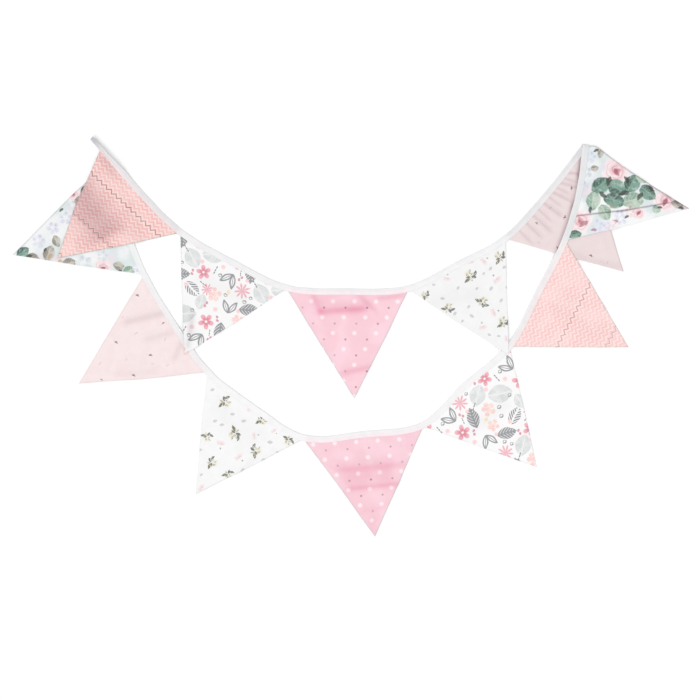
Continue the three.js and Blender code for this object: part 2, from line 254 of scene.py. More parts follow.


# The folds that show in each cloth. half is a ridge's half width to the left of its way, back its
# half width to the right, and shade how much painted shade darkens the cloth at its right foot; rows with no
# height are painted shade alone, such as a pleat's shadow line or the shadow beside a raised tape or edge.
foldColumns = ("start", "end", "height", "half", "back", "shade")
folds = {
    "01": [
        ((-392, 204), (-334, 166), 1.4, 12, 12, 0.08), ((-376, 176), (-352, 167), 0.9, 4, 6, 0.1),
        ((-417, 250), (-374, 176), 0.5, 30, 30, 0.55), ((-397, 282), (-382, 262), 0.0, 8, 8, 0.3),
    ],
    "02": [
        ((-236, 102), (-170, 68), 1.4, 12, 12, 0.1), ((-268, -12), (-262, 30), 0.9, 5, 9, 0.3),
    ],
    "03": [
        ((-46, 44), (15, 48), 2.3, 9, 6, 0.5), ((-58, 58), (24, 42), 0.0, 14, 14, 0.16),
        ((-55, 62), (-46, 42), 1.2, 6, 5, 0.3), ((32, 42), (15, 58), 1.2, 6, 5, 0.25),
        ((48, 64), (78, 67), 0.7, 4, 4, 0.3), ((-8, -54), (24, -47), 1.6, 8, 5, 0.35),
        ((-62, 20), (-30, 8), 0.9, 9, 6, 0.1),
    ],
    "04": [
        ((132, 66), (196, 74), 1.5, 12, 12, 0.08),
    ],
    "05": [
        ((345, 263), (364, 262), 1.2, 3, 2.4, 0.33), ((338, 255), (354, 250), 0.9, 2.4, 2, 0.3),
        ((332, 248), (358, 241), 1.3, 3, 2.6, 0.33), ((326, 241), (343, 232), 0.9, 2.4, 2, 0.3),
        ((320, 234), (345, 221), 1.4, 3, 2.6, 0.36), ((314, 226), (330, 214), 0.9, 2.4, 2, 0.3),
        ((307, 216), (331, 198), 1.4, 3, 2.6, 0.36), ((300, 205), (314, 191), 0.9, 2.4, 2, 0.3),
        ((292, 195), (315, 174), 1.3, 3, 2.6, 0.33), ((282, 182), (300, 164), 1.2, 3, 2.4, 0.32),
        ((270, 170), (284, 155), 0.9, 2.4, 2, 0.3), ((370, 298), (366, 258), 0.0, 5, 5, 0.95),
        ((366, 258), (355, 207), 0.0, 4.5, 4.5, 0.5), ((355, 207), (329, 132), 0.0, 4.5, 4.5, 0.6),
        ((356, 128), (420, 112), 0.0, 7, 7, 0.12),
    ],
    "06": [
        ((358, 193), (440, 202.5), 3.0, 16, 1.3, 0.95), ((438, 202), (502, 213), 2.4, 14, 1.2, 0.95),
        ((402, 290), (468, 246), 2.0, 12, 10, 0.1), ((386, 268), (380, 222), 1.2, 5, 8, 0.12),
        ((396, 303), (522, 212), 0.0, 2.6, 2.6, 0.5), ((522, 212), (541, 204), 0.0, 5, 5, 0.4),
    ],
    "07": [
        ((334, 60), (396, 12), 1.5, 13, 13, 0.06), ((352, 100), (372, 84), 0.8, 6, 5, 0.05),
    ],
    "08": [
        ((172, -152), (240, -104), 1.6, 12, 12, 0.1), ((262, -170), (284, -150), 0.9, 6, 5, 0.1),
    ],
    "09": [
        ((-18, -209), (78, -201), 2.2, 9, 6, 0.26), ((2, -240), (72, -233), 1.7, 8, 5, 0.36),
        ((-8, -226), (60, -218), 0.0, 15, 15, 0.2), ((34, -300), (40, -320), 0.0, 9, 9, 0.16),
        ((20, -276), (52, -268), 0.9, 6, 5, 0.12),
    ],
    "10": [
        ((-216, -112), (-150, -160), 1.5, 12, 12, 0.07), ((-190, -226), (-160, -196), 0.8, 7, 5, 0.06),
    ],
    "11": [
        ((-357, 28), (-306, 40), 2.2, 8, 6, 0.26), ((-326, 0), (-292, 8), 1.5, 7, 5, 0.16),
        ((-374, -56), (-322, -52), 1.4, 8, 6, 0.1), ((-287, -32), (-270, 6), 1.2, 5, 7, 0.16),
    ],
    "12": [
        ((-500, 160), (-470, 190), 1.5, 9, 9, 0.08), ((-440, 200), (-420, 160), 0.9, 6, 6, 0.08),
    ],
}
easing = {  # the small unevenness of cloth that has been folded and laid out by hand
    "liftWave": 62, "liftRaise": 0.1, "liftHeight": 0.55,
    "crumpleWave": 15, "crumpleRaise": 2.5, "crumpleHeight": 0.07,
    "foldFoot": 0.03, "foldEnd": 10, "shadeFoot": 0.8,
    # the small gathers just below the tape
    "gatherPitch": 8.5, "gatherWave": 40, "gatherHeight": 0.22, "gatherStart": (0.5, 4), "gatherReach": 13,
    "edgeShadeReach": 1.7,
    "cornerTuck": (-3, 10),  # lengths from the start of a pennant where its corner comes into the tape
    "hemSoft": 1.5, "hemStart": (2, 9),
}
seeds = {"lift": 40, "crumple": 140, "gather": 300, "wander": 71, "pucker": 72}


# How much painted shade each cloth shows along its side at the seam's start, and at its end
edgeShadeMarks = {
    "01": (0.8, 0.9), "02": (0.4, 0), "03": (0.85, 0.65), "04": (0.1, 0), "05": (0, 0.5), "06": (1, 0.1),
    "07": (0.5, 0.6), "08": (0.1, 0.3), "09": (0.7, 0.8), "10": (0.35, 0.1), "11": (0.3, 0.2), "12": (0, 0.7),
}


def waves(points, seed, wavelength, count=12):
    # Smooth random ups and downs, about 1 high
    pick = np.random.default_rng(seed)
    ways = pick.uniform(0, 2 * math.pi, count)
    pitch = 2 * math.pi / (wavelength * pick.uniform(0.7, 1.6, count))
    phase = pick.uniform(0, 2 * math.pi, count)
    along = points[:, :1] * np.cos(ways) + points[:, 1:] * np.sin(ways)
    return np.sin(along * pitch + phase).sum(1) / math.sqrt(count / 2)


def foldsAt(points, name):
    # Each fold of a pennant, with how far the points are to the left of it and past its ends
    for row in folds[name]:
        fold = dict(zip(foldColumns, row))
        start, end = np.array(fold["start"], float), np.array(fold["end"], float)
        way = unit(end - start)
        along = (points - start) @ way
        past = np.maximum(0, np.maximum(-along, along - np.linalg.norm(end - start)))
        yield fold, turnOf(way, points - start), (past / easing["foldEnd"]) ** 2


def foldHeight(points, name):
    height = np.zeros(len(points))
    for fold, aside, past in foldsAt(points, name):
        width = np.where(aside > 0, fold["half"], fold["back"])
        bell = np.exp(-(aside / width) ** 2 - past)
        height += fold["height"] * np.maximum(0, (bell - easing["foldFoot"]) / (1 - easing["foldFoot"]))
    return height


def foldShade(points, name):
    shade = np.zeros(len(points))
    for fold, aside, past in foldsAt(points, name):
        width = min(fold["half"], fold["back"])
        foot = fold["back"] * easing["shadeFoot"] if fold["height"] else 0
        shade += fold["shade"] * np.exp(-((aside + foot) / width) ** 2 - past)
    return np.minimum(shade, 1)


def edgeShadeMark(flat, index, name):
    # How much painted shade each point of a pennant's grid takes from the ends of its row, along the cloth's
    # sides
    mark = np.zeros(len(flat))
    for row in index:
        for share, corner in zip(edgeShadeMarks[name], (row[0], row[-1])):
            away = np.linalg.norm(flat[row] - flat[corner], axis=1)
            mark[row] = np.maximum(mark[row], share * bell(away, 0, easing["edgeShadeReach"]))
    return mark


def relief(points, name):
    lift = waves(points, seeds["lift"] + int(name), easing["liftWave"]) + easing["liftRaise"]
    crumple = waves(points, seeds["crumple"] + int(name), easing["crumpleWave"]) + easing["crumpleRaise"]
    return foldHeight(points, name) + np.maximum(0, lift) * easing["liftHeight"] + np.maximum(
        0, crumple * easing["crumpleHeight"])


def lying(points, name):
    # The underside of a pennant's free cloth
    return restLevel(points, pennantsByName[name]["over"], 0) + relief(points, name)


def tapeBelow(points, pennant):
    # How far the points are outside a pennant's stretch of tape, and that tape's level
    strand = pennant["strand"]
    lengths = np.linspace(pennant["from"] - sizes["tapeBeyond"], pennant["to"] + sizes["tapeBeyond"], 13)
    places, ways = seamAt(strand["seam"], lengths)
    line = places + outwardAt(strand, ways) * sizes["tapeWidth"] / 2
    away = np.full(len(points), np.inf)
    for a, b in zip(line, line[1:]):
        away = np.minimum(away, segmentDistance(points, a, b))
    nearest = np.argmin(np.linalg.norm(points[:, None] - line[None], axis=2), axis=1)
    return away - sizes["tapeWidth"] / 2, restLevel(line, pennant["over"], sizes["tapeWidth"] / 2)[nearest]


def restLevel(points, names, extraMargin):
    # The level that cloth rests at over the pennants and the tape below it
    level = np.zeros(len(points))
    for name in names:
        below = pennantsByName[name]
        tapeAway, tapeAt = tapeBelow(points, below)
        shelves = [
            (lying(points, name) + sizes["cloth"] + sizes["hem"], triangleDistance(points, below["corners"])),
            (tapeAt + sizes["tape"], tapeAway),
        ]
        for top, away in shelves:
            ending = smoothStep(away - sizes["shelfMargin"] - extraMargin, 0, sizes["shelfReach"])
            level = np.maximum(level, (top + sizes["stackGap"]) * (1 - ending))
    return level


def tapeLevel(strand, lengths):
    # The level that the tape's underside rests at
    lengths = np.atleast_1d(np.asarray(lengths, float))
    places, ways = seamAt(strand["seam"], lengths)
    middle = places + outwardAt(strand, ways) * sizes["tapeWidth"] / 2
    level = np.zeros(len(lengths))
    for pennant in strand["pennants"]:
        if pennant["over"]:
            beside = (lengths > pennant["from"] - sizes["besideReach"]) & (
                lengths < pennant["to"] + sizes["besideReach"])
            rest = restLevel(middle, pennant["over"], sizes["tapeWidth"] / 2)
            level = np.maximum(level, np.where(beside, rest, 0))
    return level


def tapeRoll(strand, lengths):
    # How far the tape is turned up on its seam edge, in radians
    if strand is not upper:
        return np.zeros(len(lengths))
    along = lengths - upper["pennants"][0]["from"]
    return math.radians(sizes["endRoll"]) * (1 - smoothStep(along, sizes["rollFrom"], sizes["rollTo"]))


# Node helpers

class Signal:
    # A number in a node tree, so that a pattern can be written as arithmetic
    def __init__(self, socket):
        self.socket = socket
        self.tree = socket.id_data

    def math(self, operation, *others):
        values = dict(enumerate((self, *others)))
        return Signal(addNode(self.tree, "ShaderNodeMath", values, operation=operation).outputs[0])

    def __add__(self, other):
        return self.math("ADD", other)

    def __sub__(self, other):
        return self.math("SUBTRACT", other)

    def __mul__(self, other):
        return self.math("MULTIPLY", other)

    def __truediv__(self, other):
        return self.math("DIVIDE", other)

    def __abs__(self):
        return self.math("ABSOLUTE")

    def sine(self):
        return self.math("SINE")

    def share(self):
        return self.math("FRACT")

    def bounce(self, height):
        return self.math("PINGPONG", height)

    def near(self, value):
        return self.math("COMPARE", value, 0.5)

    def ramp(self, low, high, start=0.0, end=1.0):
        values = {"Value": self, "From Min": low, "From Max": high, "To Min": start, "To Max": end}
        node = addNode(self.tree, "ShaderNodeMapRange", values, interpolation_type="SMOOTHSTEP")
        return Signal(node.outputs["Result"])

    def below(self, edge, soft):
        return self.ramp(edge - soft, edge + soft, 1.0, 0.0)


def feed(socket, value):
    if isinstance(value, Signal):
        value = value.socket
    if isinstance(value, bpy.types.NodeSocket):
        socket.id_data.links.new(value, socket)
    else:
        socket.default_value = value


def addNode(tree, kind, inputs=None, **settings):
    node = tree.nodes.new(kind)
    for name, value in settings.items():
        setattr(node, name, value)
    for name, value in (inputs or {}).items():
        feed(node.inputs[name], value)
    return node


def attributeOf(tree, name):
    return addNode(tree, "ShaderNodeAttribute", attribute_name=name, attribute_type="GEOMETRY")


def vectorMath(operation, values, output=0):
    return addNode(values[0].id_data, "ShaderNodeVectorMath", values, operation=operation).outputs[output]


def splitVector(vector):
    node = addNode(vector.id_data, "ShaderNodeSeparateXYZ", {0: vector})
    return [Signal(socket) for socket in node.outputs]


def placed(vector, at, size, turn=0.0):
    # The vector as seen from a shape at that place, with that size and turn
    around = (0, 0, math.radians(turn))
    values = {"Vector": vector, "Location": (*at, 0), "Rotation": around, "Scale": (*size, 1)}
    return addNode(vector.id_data, "ShaderNodeMapping", values, vector_type="TEXTURE").outputs["Vector"]


def noiseNode(vector, scale, detail):
    values = {"Vector": vector, "Scale": scale, "Detail": detail}
    return addNode(vector.id_data, "ShaderNodeTexNoise", values, noise_dimensions="2D")


def noiseOf(vector, scale, detail=2.0):
    return Signal(noiseNode(vector, scale, detail).outputs[0])


def wobble(vector, scale, amount):
    # The vector shaken a little, for a hand-drawn edge
    shake = vectorMath("SUBTRACT", {0: noiseNode(vector, scale, 1.0).outputs["Color"], 1: (0.5, 0.5, 0.5)})
    return vectorMath("MULTIPLY_ADD", {0: shake, 1: (amount, amount, 0), 2: vector})


def tone(red, green, blue, share=0.93):
    # A colour as it looks in even light, from 0 to 255, to what the cloth reflects
    def linear(value):
        value /= 255
        return value / 12.92 if value <= 0.04045 else ((value + 0.055) / 1.055) ** 2.4
    return (*[linear(value) * share for value in (red, green, blue)], 1)


def paint(under, over, mask):
    # One colour over another where the mask is, each a socket or three numbers as tone() takes them
    tree = mask.tree if isinstance(mask, Signal) else under.id_data
    under, over = [tone(*colour) if isinstance(colour, tuple) else colour for colour in (under, over)]
    return addNode(tree, "ShaderNodeMix", {"Factor": mask, 6: under, 7: over}, data_type="RGBA").outputs[2]


def oval(vector, at, size, turn=0.0, soft=0.1):
    away = Signal(vectorMath("LENGTH", {0: placed(vector, at, size, turn)}, "Value"))
    return away.below(1.0 - soft, soft)


def ovals(vector, rows, soft=0.1):
    return anyOf(*[oval(vector, *row, soft=soft) for row in rows])


def leaf(vector, at, size, turn=0.0, soft=0.1):
    # A pointed leaf: its mask, and how far across and along it a point is
    x, y, _ = splitVector(placed(vector, at, size, turn))
    return (x * x + abs(y)).below(1.0 - soft, soft), x, y


def bloom(vector, at, size, petals, waist, turn=0.0, soft=0.1, fullness=1.0):
    # Round petals about a point, drawn in to the waist between them. A fullness under 1 fattens them
    x, y, _ = splitVector(placed(vector, at, (size, size), turn))
    angle = y.math("ARCTAN2", x)
    edge = abs((angle * (petals / 2)).sine()).math("POWER", fullness) * (1 - waist) + waist
    radius = (x * x + y * y).math("SQRT")
    return (radius / edge).below(1.0 - soft, soft), radius


def anyOf(*masks):
    result = masks[0]
    for mask in masks[1:]:
        result = result.math("MAXIMUM", mask)
    return result


print("layout and node helpers are ready")


# The weave that all the cloths share

weave = {"pitch": 0.55, "contrast": 0.035, "slub": 0.03, "mottle": 0.035, "bump": 0.22, "bumpHeight": 0.00012}


def wovenCotton():
    tree = bpy.data.node_groups.new("woven cotton", "ShaderNodeTree")
    sockets = {"INPUT": (("Colour", "Color"), ("Plan", "Vector"), ("Pitch", "Float")),
               "OUTPUT": (("Colour", "Color"), ("Roughness", "Float"), ("Normal", "Vector"))}
    for side, rows in sockets.items():
        for name, kind in rows:
            tree.interface.new_socket(name, in_out=side, socket_type="NodeSocket" + kind)
    given = tree.nodes.new("NodeGroupInput")
    made = tree.nodes.new("NodeGroupOutput")
    plan = given.outputs["Plan"]
    x, y, _ = splitVector(plan)
    pitch = Signal(given.outputs["Pitch"])
    warp = (x / pitch * math.pi).sine()
    weft = (y / pitch * math.pi).sine()
    over = (warp * weft).ramp(-0.2, 0.2)
    threads = abs(warp) * over + abs(weft) * (over * -1 + 1)
    along, across = [noiseOf(vectorMath("MULTIPLY", {0: plan, 1: stretch}), 1.0)
                     for stretch in ((0.05, 1.9, 1), (1.9, 0.05, 1))]
    slubs = along + across - 1.0
    mottle = noiseOf(plan, 0.045, 3.0) - 0.5
    value = (threads - 0.6) * weave["contrast"] + slubs * weave["slub"] + mottle * weave["mottle"] + 1.0
    shaded = addNode(tree, "ShaderNodeHueSaturation", {"Color": given.outputs["Colour"], "Value": value})
    relief = {"Height": threads * 0.7 + slubs * 1.2, "Strength": weave["bump"], "Distance": weave["bumpHeight"]}
    feed(made.inputs["Colour"], shaded.outputs["Color"])
    feed(made.inputs["Roughness"], noiseOf(plan, 0.3) * 0.12 + 0.8)
    feed(made.inputs["Normal"], addNode(tree, "ShaderNodeBump", relief).outputs["Normal"])
    return tree


wovenTree = wovenCotton()


# These multiply the cloth's colour: painted shade in folds, pleats and cast shadows, and painted shade along
# its sides
paintedShadeColours = {"cloth": (0.5, 0.42, 0.46, 1), "pink": (0.82, 0.38, 0.52, 1), "tape": (0.52, 0.54, 0.56, 1)}
edgeShadeColours = {"cloth": (0.68, 0.68, 0.68, 1), "pink": (0.66, 0.92, 0.86, 1)}


def clothMaterial(name, drawPrint, pitch=weave["pitch"], sheen=0.12, paintedShade="cloth", edge="cloth"):
    # A cloth: its print drawn in millimetres of its own flat plan, painted shade over it, then the weave over
    # it
    material = bpy.data.materials.new(name)
    material.use_nodes = True
    tree = material.node_tree
    tree.nodes.clear()
    uv = addNode(tree, "ShaderNodeUVMap", uv_map="plan").outputs["UV"]
    plan = vectorMath("SCALE", {0: uv, "Scale": 1 / mm})
    colour = drawPrint(plan)
    # Painted shade: deeper colour in folds, pleats and cast shadows, then darker along the cloth's sides
    for mark, shown in (("paintedShade", paintedShadeColours[paintedShade]), ("edge", edgeShadeColours[edge])):
        values = {"Factor": attributeOf(tree, mark).outputs["Fac"], 6: colour, 7: shown}
        colour = addNode(tree, "ShaderNodeMix", values, data_type="RGBA", blend_type="MULTIPLY").outputs[2]
    # Each pennant's lightness: partly its dye, partly painted shade
    dyeToneAndShade = attributeOf(tree, "tone").outputs["Fac"]
    toned = addNode(tree, "ShaderNodeHueSaturation", {"Color": colour, "Value": dyeToneAndShade}).outputs["Color"]
    woven = addNode(tree, "ShaderNodeGroup", node_tree=wovenTree)
    for name, value in (("Colour", toned), ("Plan", plan), ("Pitch", pitch)):
        feed(woven.inputs[name], value)
    shader = addNode(tree, "ShaderNodeBsdfPrincipled", {
        "Base Color": woven.outputs["Colour"], "Roughness": woven.outputs["Roughness"],
        "Normal": woven.outputs["Normal"], "Sheen Weight": sheen, "Sheen Roughness": 0.45,
        "Specular IOR Level": 0.25})
    addNode(tree, "ShaderNodeOutputMaterial", {"Surface": shader.outputs["BSDF"]})
    return material


def motifLayer(plan, name):
    # A layer of scattered motifs: the point as each motif sees it, and the motif's kind
    vector = attributeOf(plan.id_data, name).outputs["Vector"]
    return vectorMath("MULTIPLY", {0: vector, 1: (1, 1, 0)}), splitVector(vector)[2]


# Zigzag print: cream zigzags on coral pink, and now and then a thin dark one. Rows are counted up the
# cloth and the lines' widths are square to them, which the slant allows for

zigzag = {"pitch": 10.6, "row": 7.5, "slant": 0.707, "line": 1.2, "soft": 0.75,
          "darkLine": 0.42, "darkSoft": 0.25}
zigzagCuts = {
    "01": {"darkAt": 27, "turn": -4.5, "darkEvery": 65, "dark": 0.9,
           "deep": (246, 192, 189), "light": (252, 206, 202)},
    "07": {"darkAt": 60, "turn": -0.5, "darkEvery": 70, "dark": 0.62,
           "deep": (247, 203, 202), "light": (250, 213, 212)},
}


def zigzagPrint(cut):
    def draw(plan):
        x, y, _ = splitVector(wobble(placed(plan, (0, cut["darkAt"]), (1, 1), cut["turn"]), 0.12, 1.1))
        step = y - x.bounce(zigzag["pitch"] / 2)

        def fromLine(every, start=0.0):
            return abs(((step / every + start).share() - 0.5) * every) * zigzag["slant"]

        cream = fromLine(zigzag["row"]).below(zigzag["line"], zigzag["soft"])
        broad = noiseOf(plan, 0.03, 1.0).ramp(0.35, 0.7)
        patchy = noiseOf(plan, 0.16, 1.0).ramp(0.3, 0.7, 0.65, 1.0)
        colour = paint(paint(cut["deep"], cut["light"], broad), (254, 231, 227), cream * patchy)
        dark = fromLine(cut["darkEvery"], 0.5).below(zigzag["darkLine"], zigzag["darkSoft"])
        return paint(colour, (120, 98, 98), dark * cut["dark"])
    return draw


# Dotted print: soft white dots in staggered rows, with small grey dots between them. Each cut starts
# at its own shares of the lattice

dots = {"across": 34.5, "row": 25.4, "radius": 3.4, "soft": 1.1, "greyRadius": 1.75, "greySoft": 0.5}
dotCuts = {
    "03": {"at": (0, 0), "turn": 0, "white": (0.185, 0.2), "grey": (0.6, 0.0)},
    "09": {"at": (-56, 12.5), "turn": -2.6, "white": (0, 0), "grey": (0.575, -0.209)},
}


def dotLattice(x, y, shift, radius, soft):
    spots = []
    for halfStep in (0, 0.5):
        u, v = [((place / every + (start + halfStep + 0.5)).share() - 0.5) * every
                for place, every, start in zip((x, y), (dots["across"], 2 * dots["row"]), shift)]
        spots.append((u * u + v * v).math("SQRT").below(radius, soft))
    return anyOf(*spots)


def dottedPrint(cut):
    def draw(plan):
        x, y, _ = splitVector(placed(plan, cut["at"], (1, 1), cut["turn"]))
        white = dotLattice(x, y, cut["white"], dots["radius"], dots["soft"])
        grey = dotLattice(x, y, cut["grey"], dots["greyRadius"], dots["greySoft"])
        pink = paint((247, 205, 215), (249, 211, 221), noiseOf(plan, 0.028, 1.0).ramp(0.35, 0.65))
        colour = paint(pink, (254, 236, 241), white * 0.95)
        return paint(colour, (178, 152, 160), grey * noiseOf(plan, 0.06).ramp(0.35, 0.6, 0.5, 0.95))
    return draw


# Pale print: tiny grey buds with thin stems, far apart on pale pink

def palePrint(plan):
    vector, kind = motifLayer(plan, "motifs")
    colour = paint((247, 231, 231), (246, 228, 229), noiseOf(plan, 0.05).ramp(0.4, 0.6))
    bud = ovals(vector, [((0.05, 0.1), (0.42, 0.22), 20), ((0.35, -0.12), (0.3, 0.16), -35)])
    stem = oval(vector, (-0.45, 0.3), (0.55, 0.07), -30, 0.3)
    colour = paint(colour, (120, 104, 106), bud * kind.near(1) * 0.85)
    colour = paint(colour, (190, 168, 170), stem * kind.near(1) * 0.8)
    faint = ovals(vector, [((0.2, 0.2), (0.4, 0.2), 40), ((-0.3, -0.1), (0.32, 0.16), -50)])
    return paint(colour, (214, 190, 192), faint * kind.near(2) * 0.7)


# Sprig print: small olive sprigs, faint pink buds and grey leaves on white

# A sprig's leaves: place, half length and half width, turn
sprigLeaves = [
    {"deep": (156, 150, 122), "light": (200, 194, 172), "broken": (0.4, 0.55, 0.15, 0.85),
     "at": [((-0.2, 0.36), (0.34, 0.15), 112), ((-0.12, -0.3), (0.36, 0.14), -72),
            ((0.36, -0.3), (0.34, 0.14), -48), ((0.3, 0.02), (0.3, 0.12), 10)]},
    {"deep": (66, 72, 54), "light": (118, 120, 98), "broken": (0.6, 0.72, 0.84, 0.2),
     "at": [((-0.6, 0.08), (0.42, 0.19), 12), ((0.2, 0.42), (0.36, 0.2), 62),
            ((0.62, 0.26), (0.38, 0.17), -18), ((-0.22, -0.05), (0.3, 0.14), 40)]},
]


def sprigPrint(plan):
    vector, kind = motifLayer(plan, "motifs")
    shaky = wobble(vector, 2.5, 0.12)
    faint = noiseOf(plan, 0.05).ramp(0.4, 0.65)
    colour = paint((248, 248, 248), (245, 246, 245), faint)
    sprigMask = kind.near(1)
    cream = ovals(shaky, [((0.1, -0.4), (0.6, 0.46), 10), ((-0.4, 0.1), (0.5, 0.4), 0)], 0.4)
    broken = noiseOf(plan, 0.42, 1.0)
    colour = paint(colour, (238, 232, 208), cream * sprigMask * 0.8)
    grain = noiseOf(shaky, 3.4).ramp(0.35, 0.65)
    for leaves in sprigLeaves:
        mask = anyOf(*[leaf(shaky, *row)[0] for row in leaves["at"]])
        tints = paint(leaves["deep"], leaves["light"], grain)
        colour = paint(colour, tints, mask * sprigMask * broken.ramp(*leaves["broken"]))
    pinkMask = kind.near(2)
    petals = ovals(shaky, [((0.1, 0.2), (0.7, 0.4), 30), ((-0.3, -0.2), (0.5, 0.32), -40)], 0.4)
    colour = paint(colour, (247, 222, 225), petals * pinkMask * 0.85)
    colour = paint(colour, (226, 200, 206), oval(shaky, (0.1, -0.02), (0.5, 0.14), 40, 0.4) * pinkMask * 0.7)
    colour = paint(colour, (140, 138, 138), oval(shaky, (0.5, -0.5), (0.17, 0.15), 0, 0.25) * pinkMask * 0.7)
    grey = leaf(shaky, (0, 0), (0.85, 0.5))[0] * kind.near(3)
    return paint(colour, (200, 202, 204), grey * 0.75)


# Woodland print: simple flowers, ferns and leaves in coral, peach and grey on white

peachBerries = [((0.1, 0.55), (0.34, 0.32)), ((-0.42, 0.3), (0.34, 0.34)), ((0.5, 0.1), (0.32, 0.34)),
                ((-0.05, -0.02), (0.36, 0.34)), ((-0.5, -0.34), (0.32, 0.3)), ((0.2, -0.52), (0.36, 0.34))]


def woodlandPrint(plan):
    big, kind = motifLayer(plan, "motifs")
    shaky = wobble(big, 2.0, 0.12)
    colour = (248, 247, 247)
    broad, along, across = leaf(shaky, (0, 0), (1.0, 0.72), 0, 0.07)
    rib = abs(across).below(0.03, 0.03)
    shade = noiseOf(shaky, 1.6).ramp(0.4, 0.65)
    pale = paint((231, 233, 232), (218, 221, 221), shade)
    colour = paint(colour, pale, broad * (rib * -1 + 1) * kind.near(5))
    fern, along, across = leaf(shaky, (0, 0), (1.0, 0.58), 0, 0.06)
    beat = abs((along * 3.4 - abs(across) * 2.0).share() - 0.5)
    ribbed = anyOf(beat.ramp(0.04, 0.16), abs(across).below(0.12, 0.04))
    colour = paint(colour, (156, 157, 160), fern * ribbed * kind.near(2))
    leaflets = beat.ramp(0.14, 0.26) * abs(across).ramp(0.1, 0.22)
    colour = paint(colour, (150, 151, 155), fern * leaflets * kind.near(7))
    for turn in (28, -28):
        fromStem = placed(shaky, (0, -0.75), (1, 1), 90 + turn)
        blade, along, across = leaf(fromStem, (0.8, 0), (0.8, 0.34), 0, 0.07)
        inner = (along * along + abs(across)).below(0.5, 0.08)
        mark = anyOf(inner * -1 + 1, abs(across).below(0.1, 0.05))
        colour = paint(colour, (158, 159, 162), blade * mark * kind.near(3))
    flower, radius = bloom(shaky, (0, 0), 0.98, 5, 0.1, 18, 0.07, 0.5)
    coral = paint((224, 132, 150), (244, 176, 188), radius.ramp(0.25, 0.75))
    colour = paint(colour, coral, flower * radius.ramp(0.1, 0.2) * kind.near(1) * 0.92)
    peach = ovals(shaky, peachBerries, 0.16)
    blush = paint((253, 224, 212), (248, 206, 204), noiseOf(shaky, 1.2).ramp(0.4, 0.6))
    colour = paint(colour, blush, peach * kind.near(4) * 0.9)
    star, radius = bloom(shaky, (0, 0), 0.98, 9, 0.08, 10, 0.08)
    colour = paint(colour, (240, 178, 188), star * kind.near(6) * 0.9)
    small, kind = motifLayer(plan, "smallMotifs")
    small = wobble(small, 1.4, 0.2)
    berries = ovals(small, [((0.35, 0.3), (0.46, 0.4)), ((-0.4, -0.3), (0.44, 0.38))])
    colour = paint(colour, (220, 152, 166), berries * kind.near(1) * 0.9)
    dashes = ovals(small, [(at, (0.34, 0.15), 32) for at in ((-0.6, -0.25), (0, 0.1), (0.55, 0.45))])
    colour = paint(colour, (146, 148, 151), dashes * kind.near(2))
    bud, along, across = leaf(small, (0, 0), (0.95, 0.8), 0, 0.1)
    heart = (along * along + abs(across - 0.12)).below(0.42, 0.1)
    colour = paint(colour, (160, 162, 164), bud * (heart * -1 + 1) * kind.near(3))
    colour = paint(colour, (250, 234, 190), oval(small, (0, 0), (0.8, 0.6), 20, 0.2) * kind.near(4))
    return paint(colour, (250, 214, 216), oval(small, (0, 0), (0.8, 0.74), 0, 0.25) * kind.near(5))


# Rose print: washed pink roses, green leaves and lavender blossom on white

# The two tints of each kind of leaf and of blossom
leafTints = {1: ((126, 164, 148), (62, 98, 84)), 2: ((192, 208, 192), (136, 168, 148)),
             4: ((204, 200, 190), (144, 138, 126))}
blossomTints = {3: ((228, 228, 244), (204, 204, 232)), 5: ((226, 231, 237), (200, 206, 216)),
                6: ((250, 228, 230), (236, 196, 204))}
blossomSpots = [((0.1, 0.5), (0.4, 0.34)), ((-0.45, 0.3), (0.34, 0.36)), ((0.5, 0.05), (0.34, 0.38)),
                ((-0.4, -0.35), (0.4, 0.3)), ((0.18, -0.45), (0.38, 0.4))]


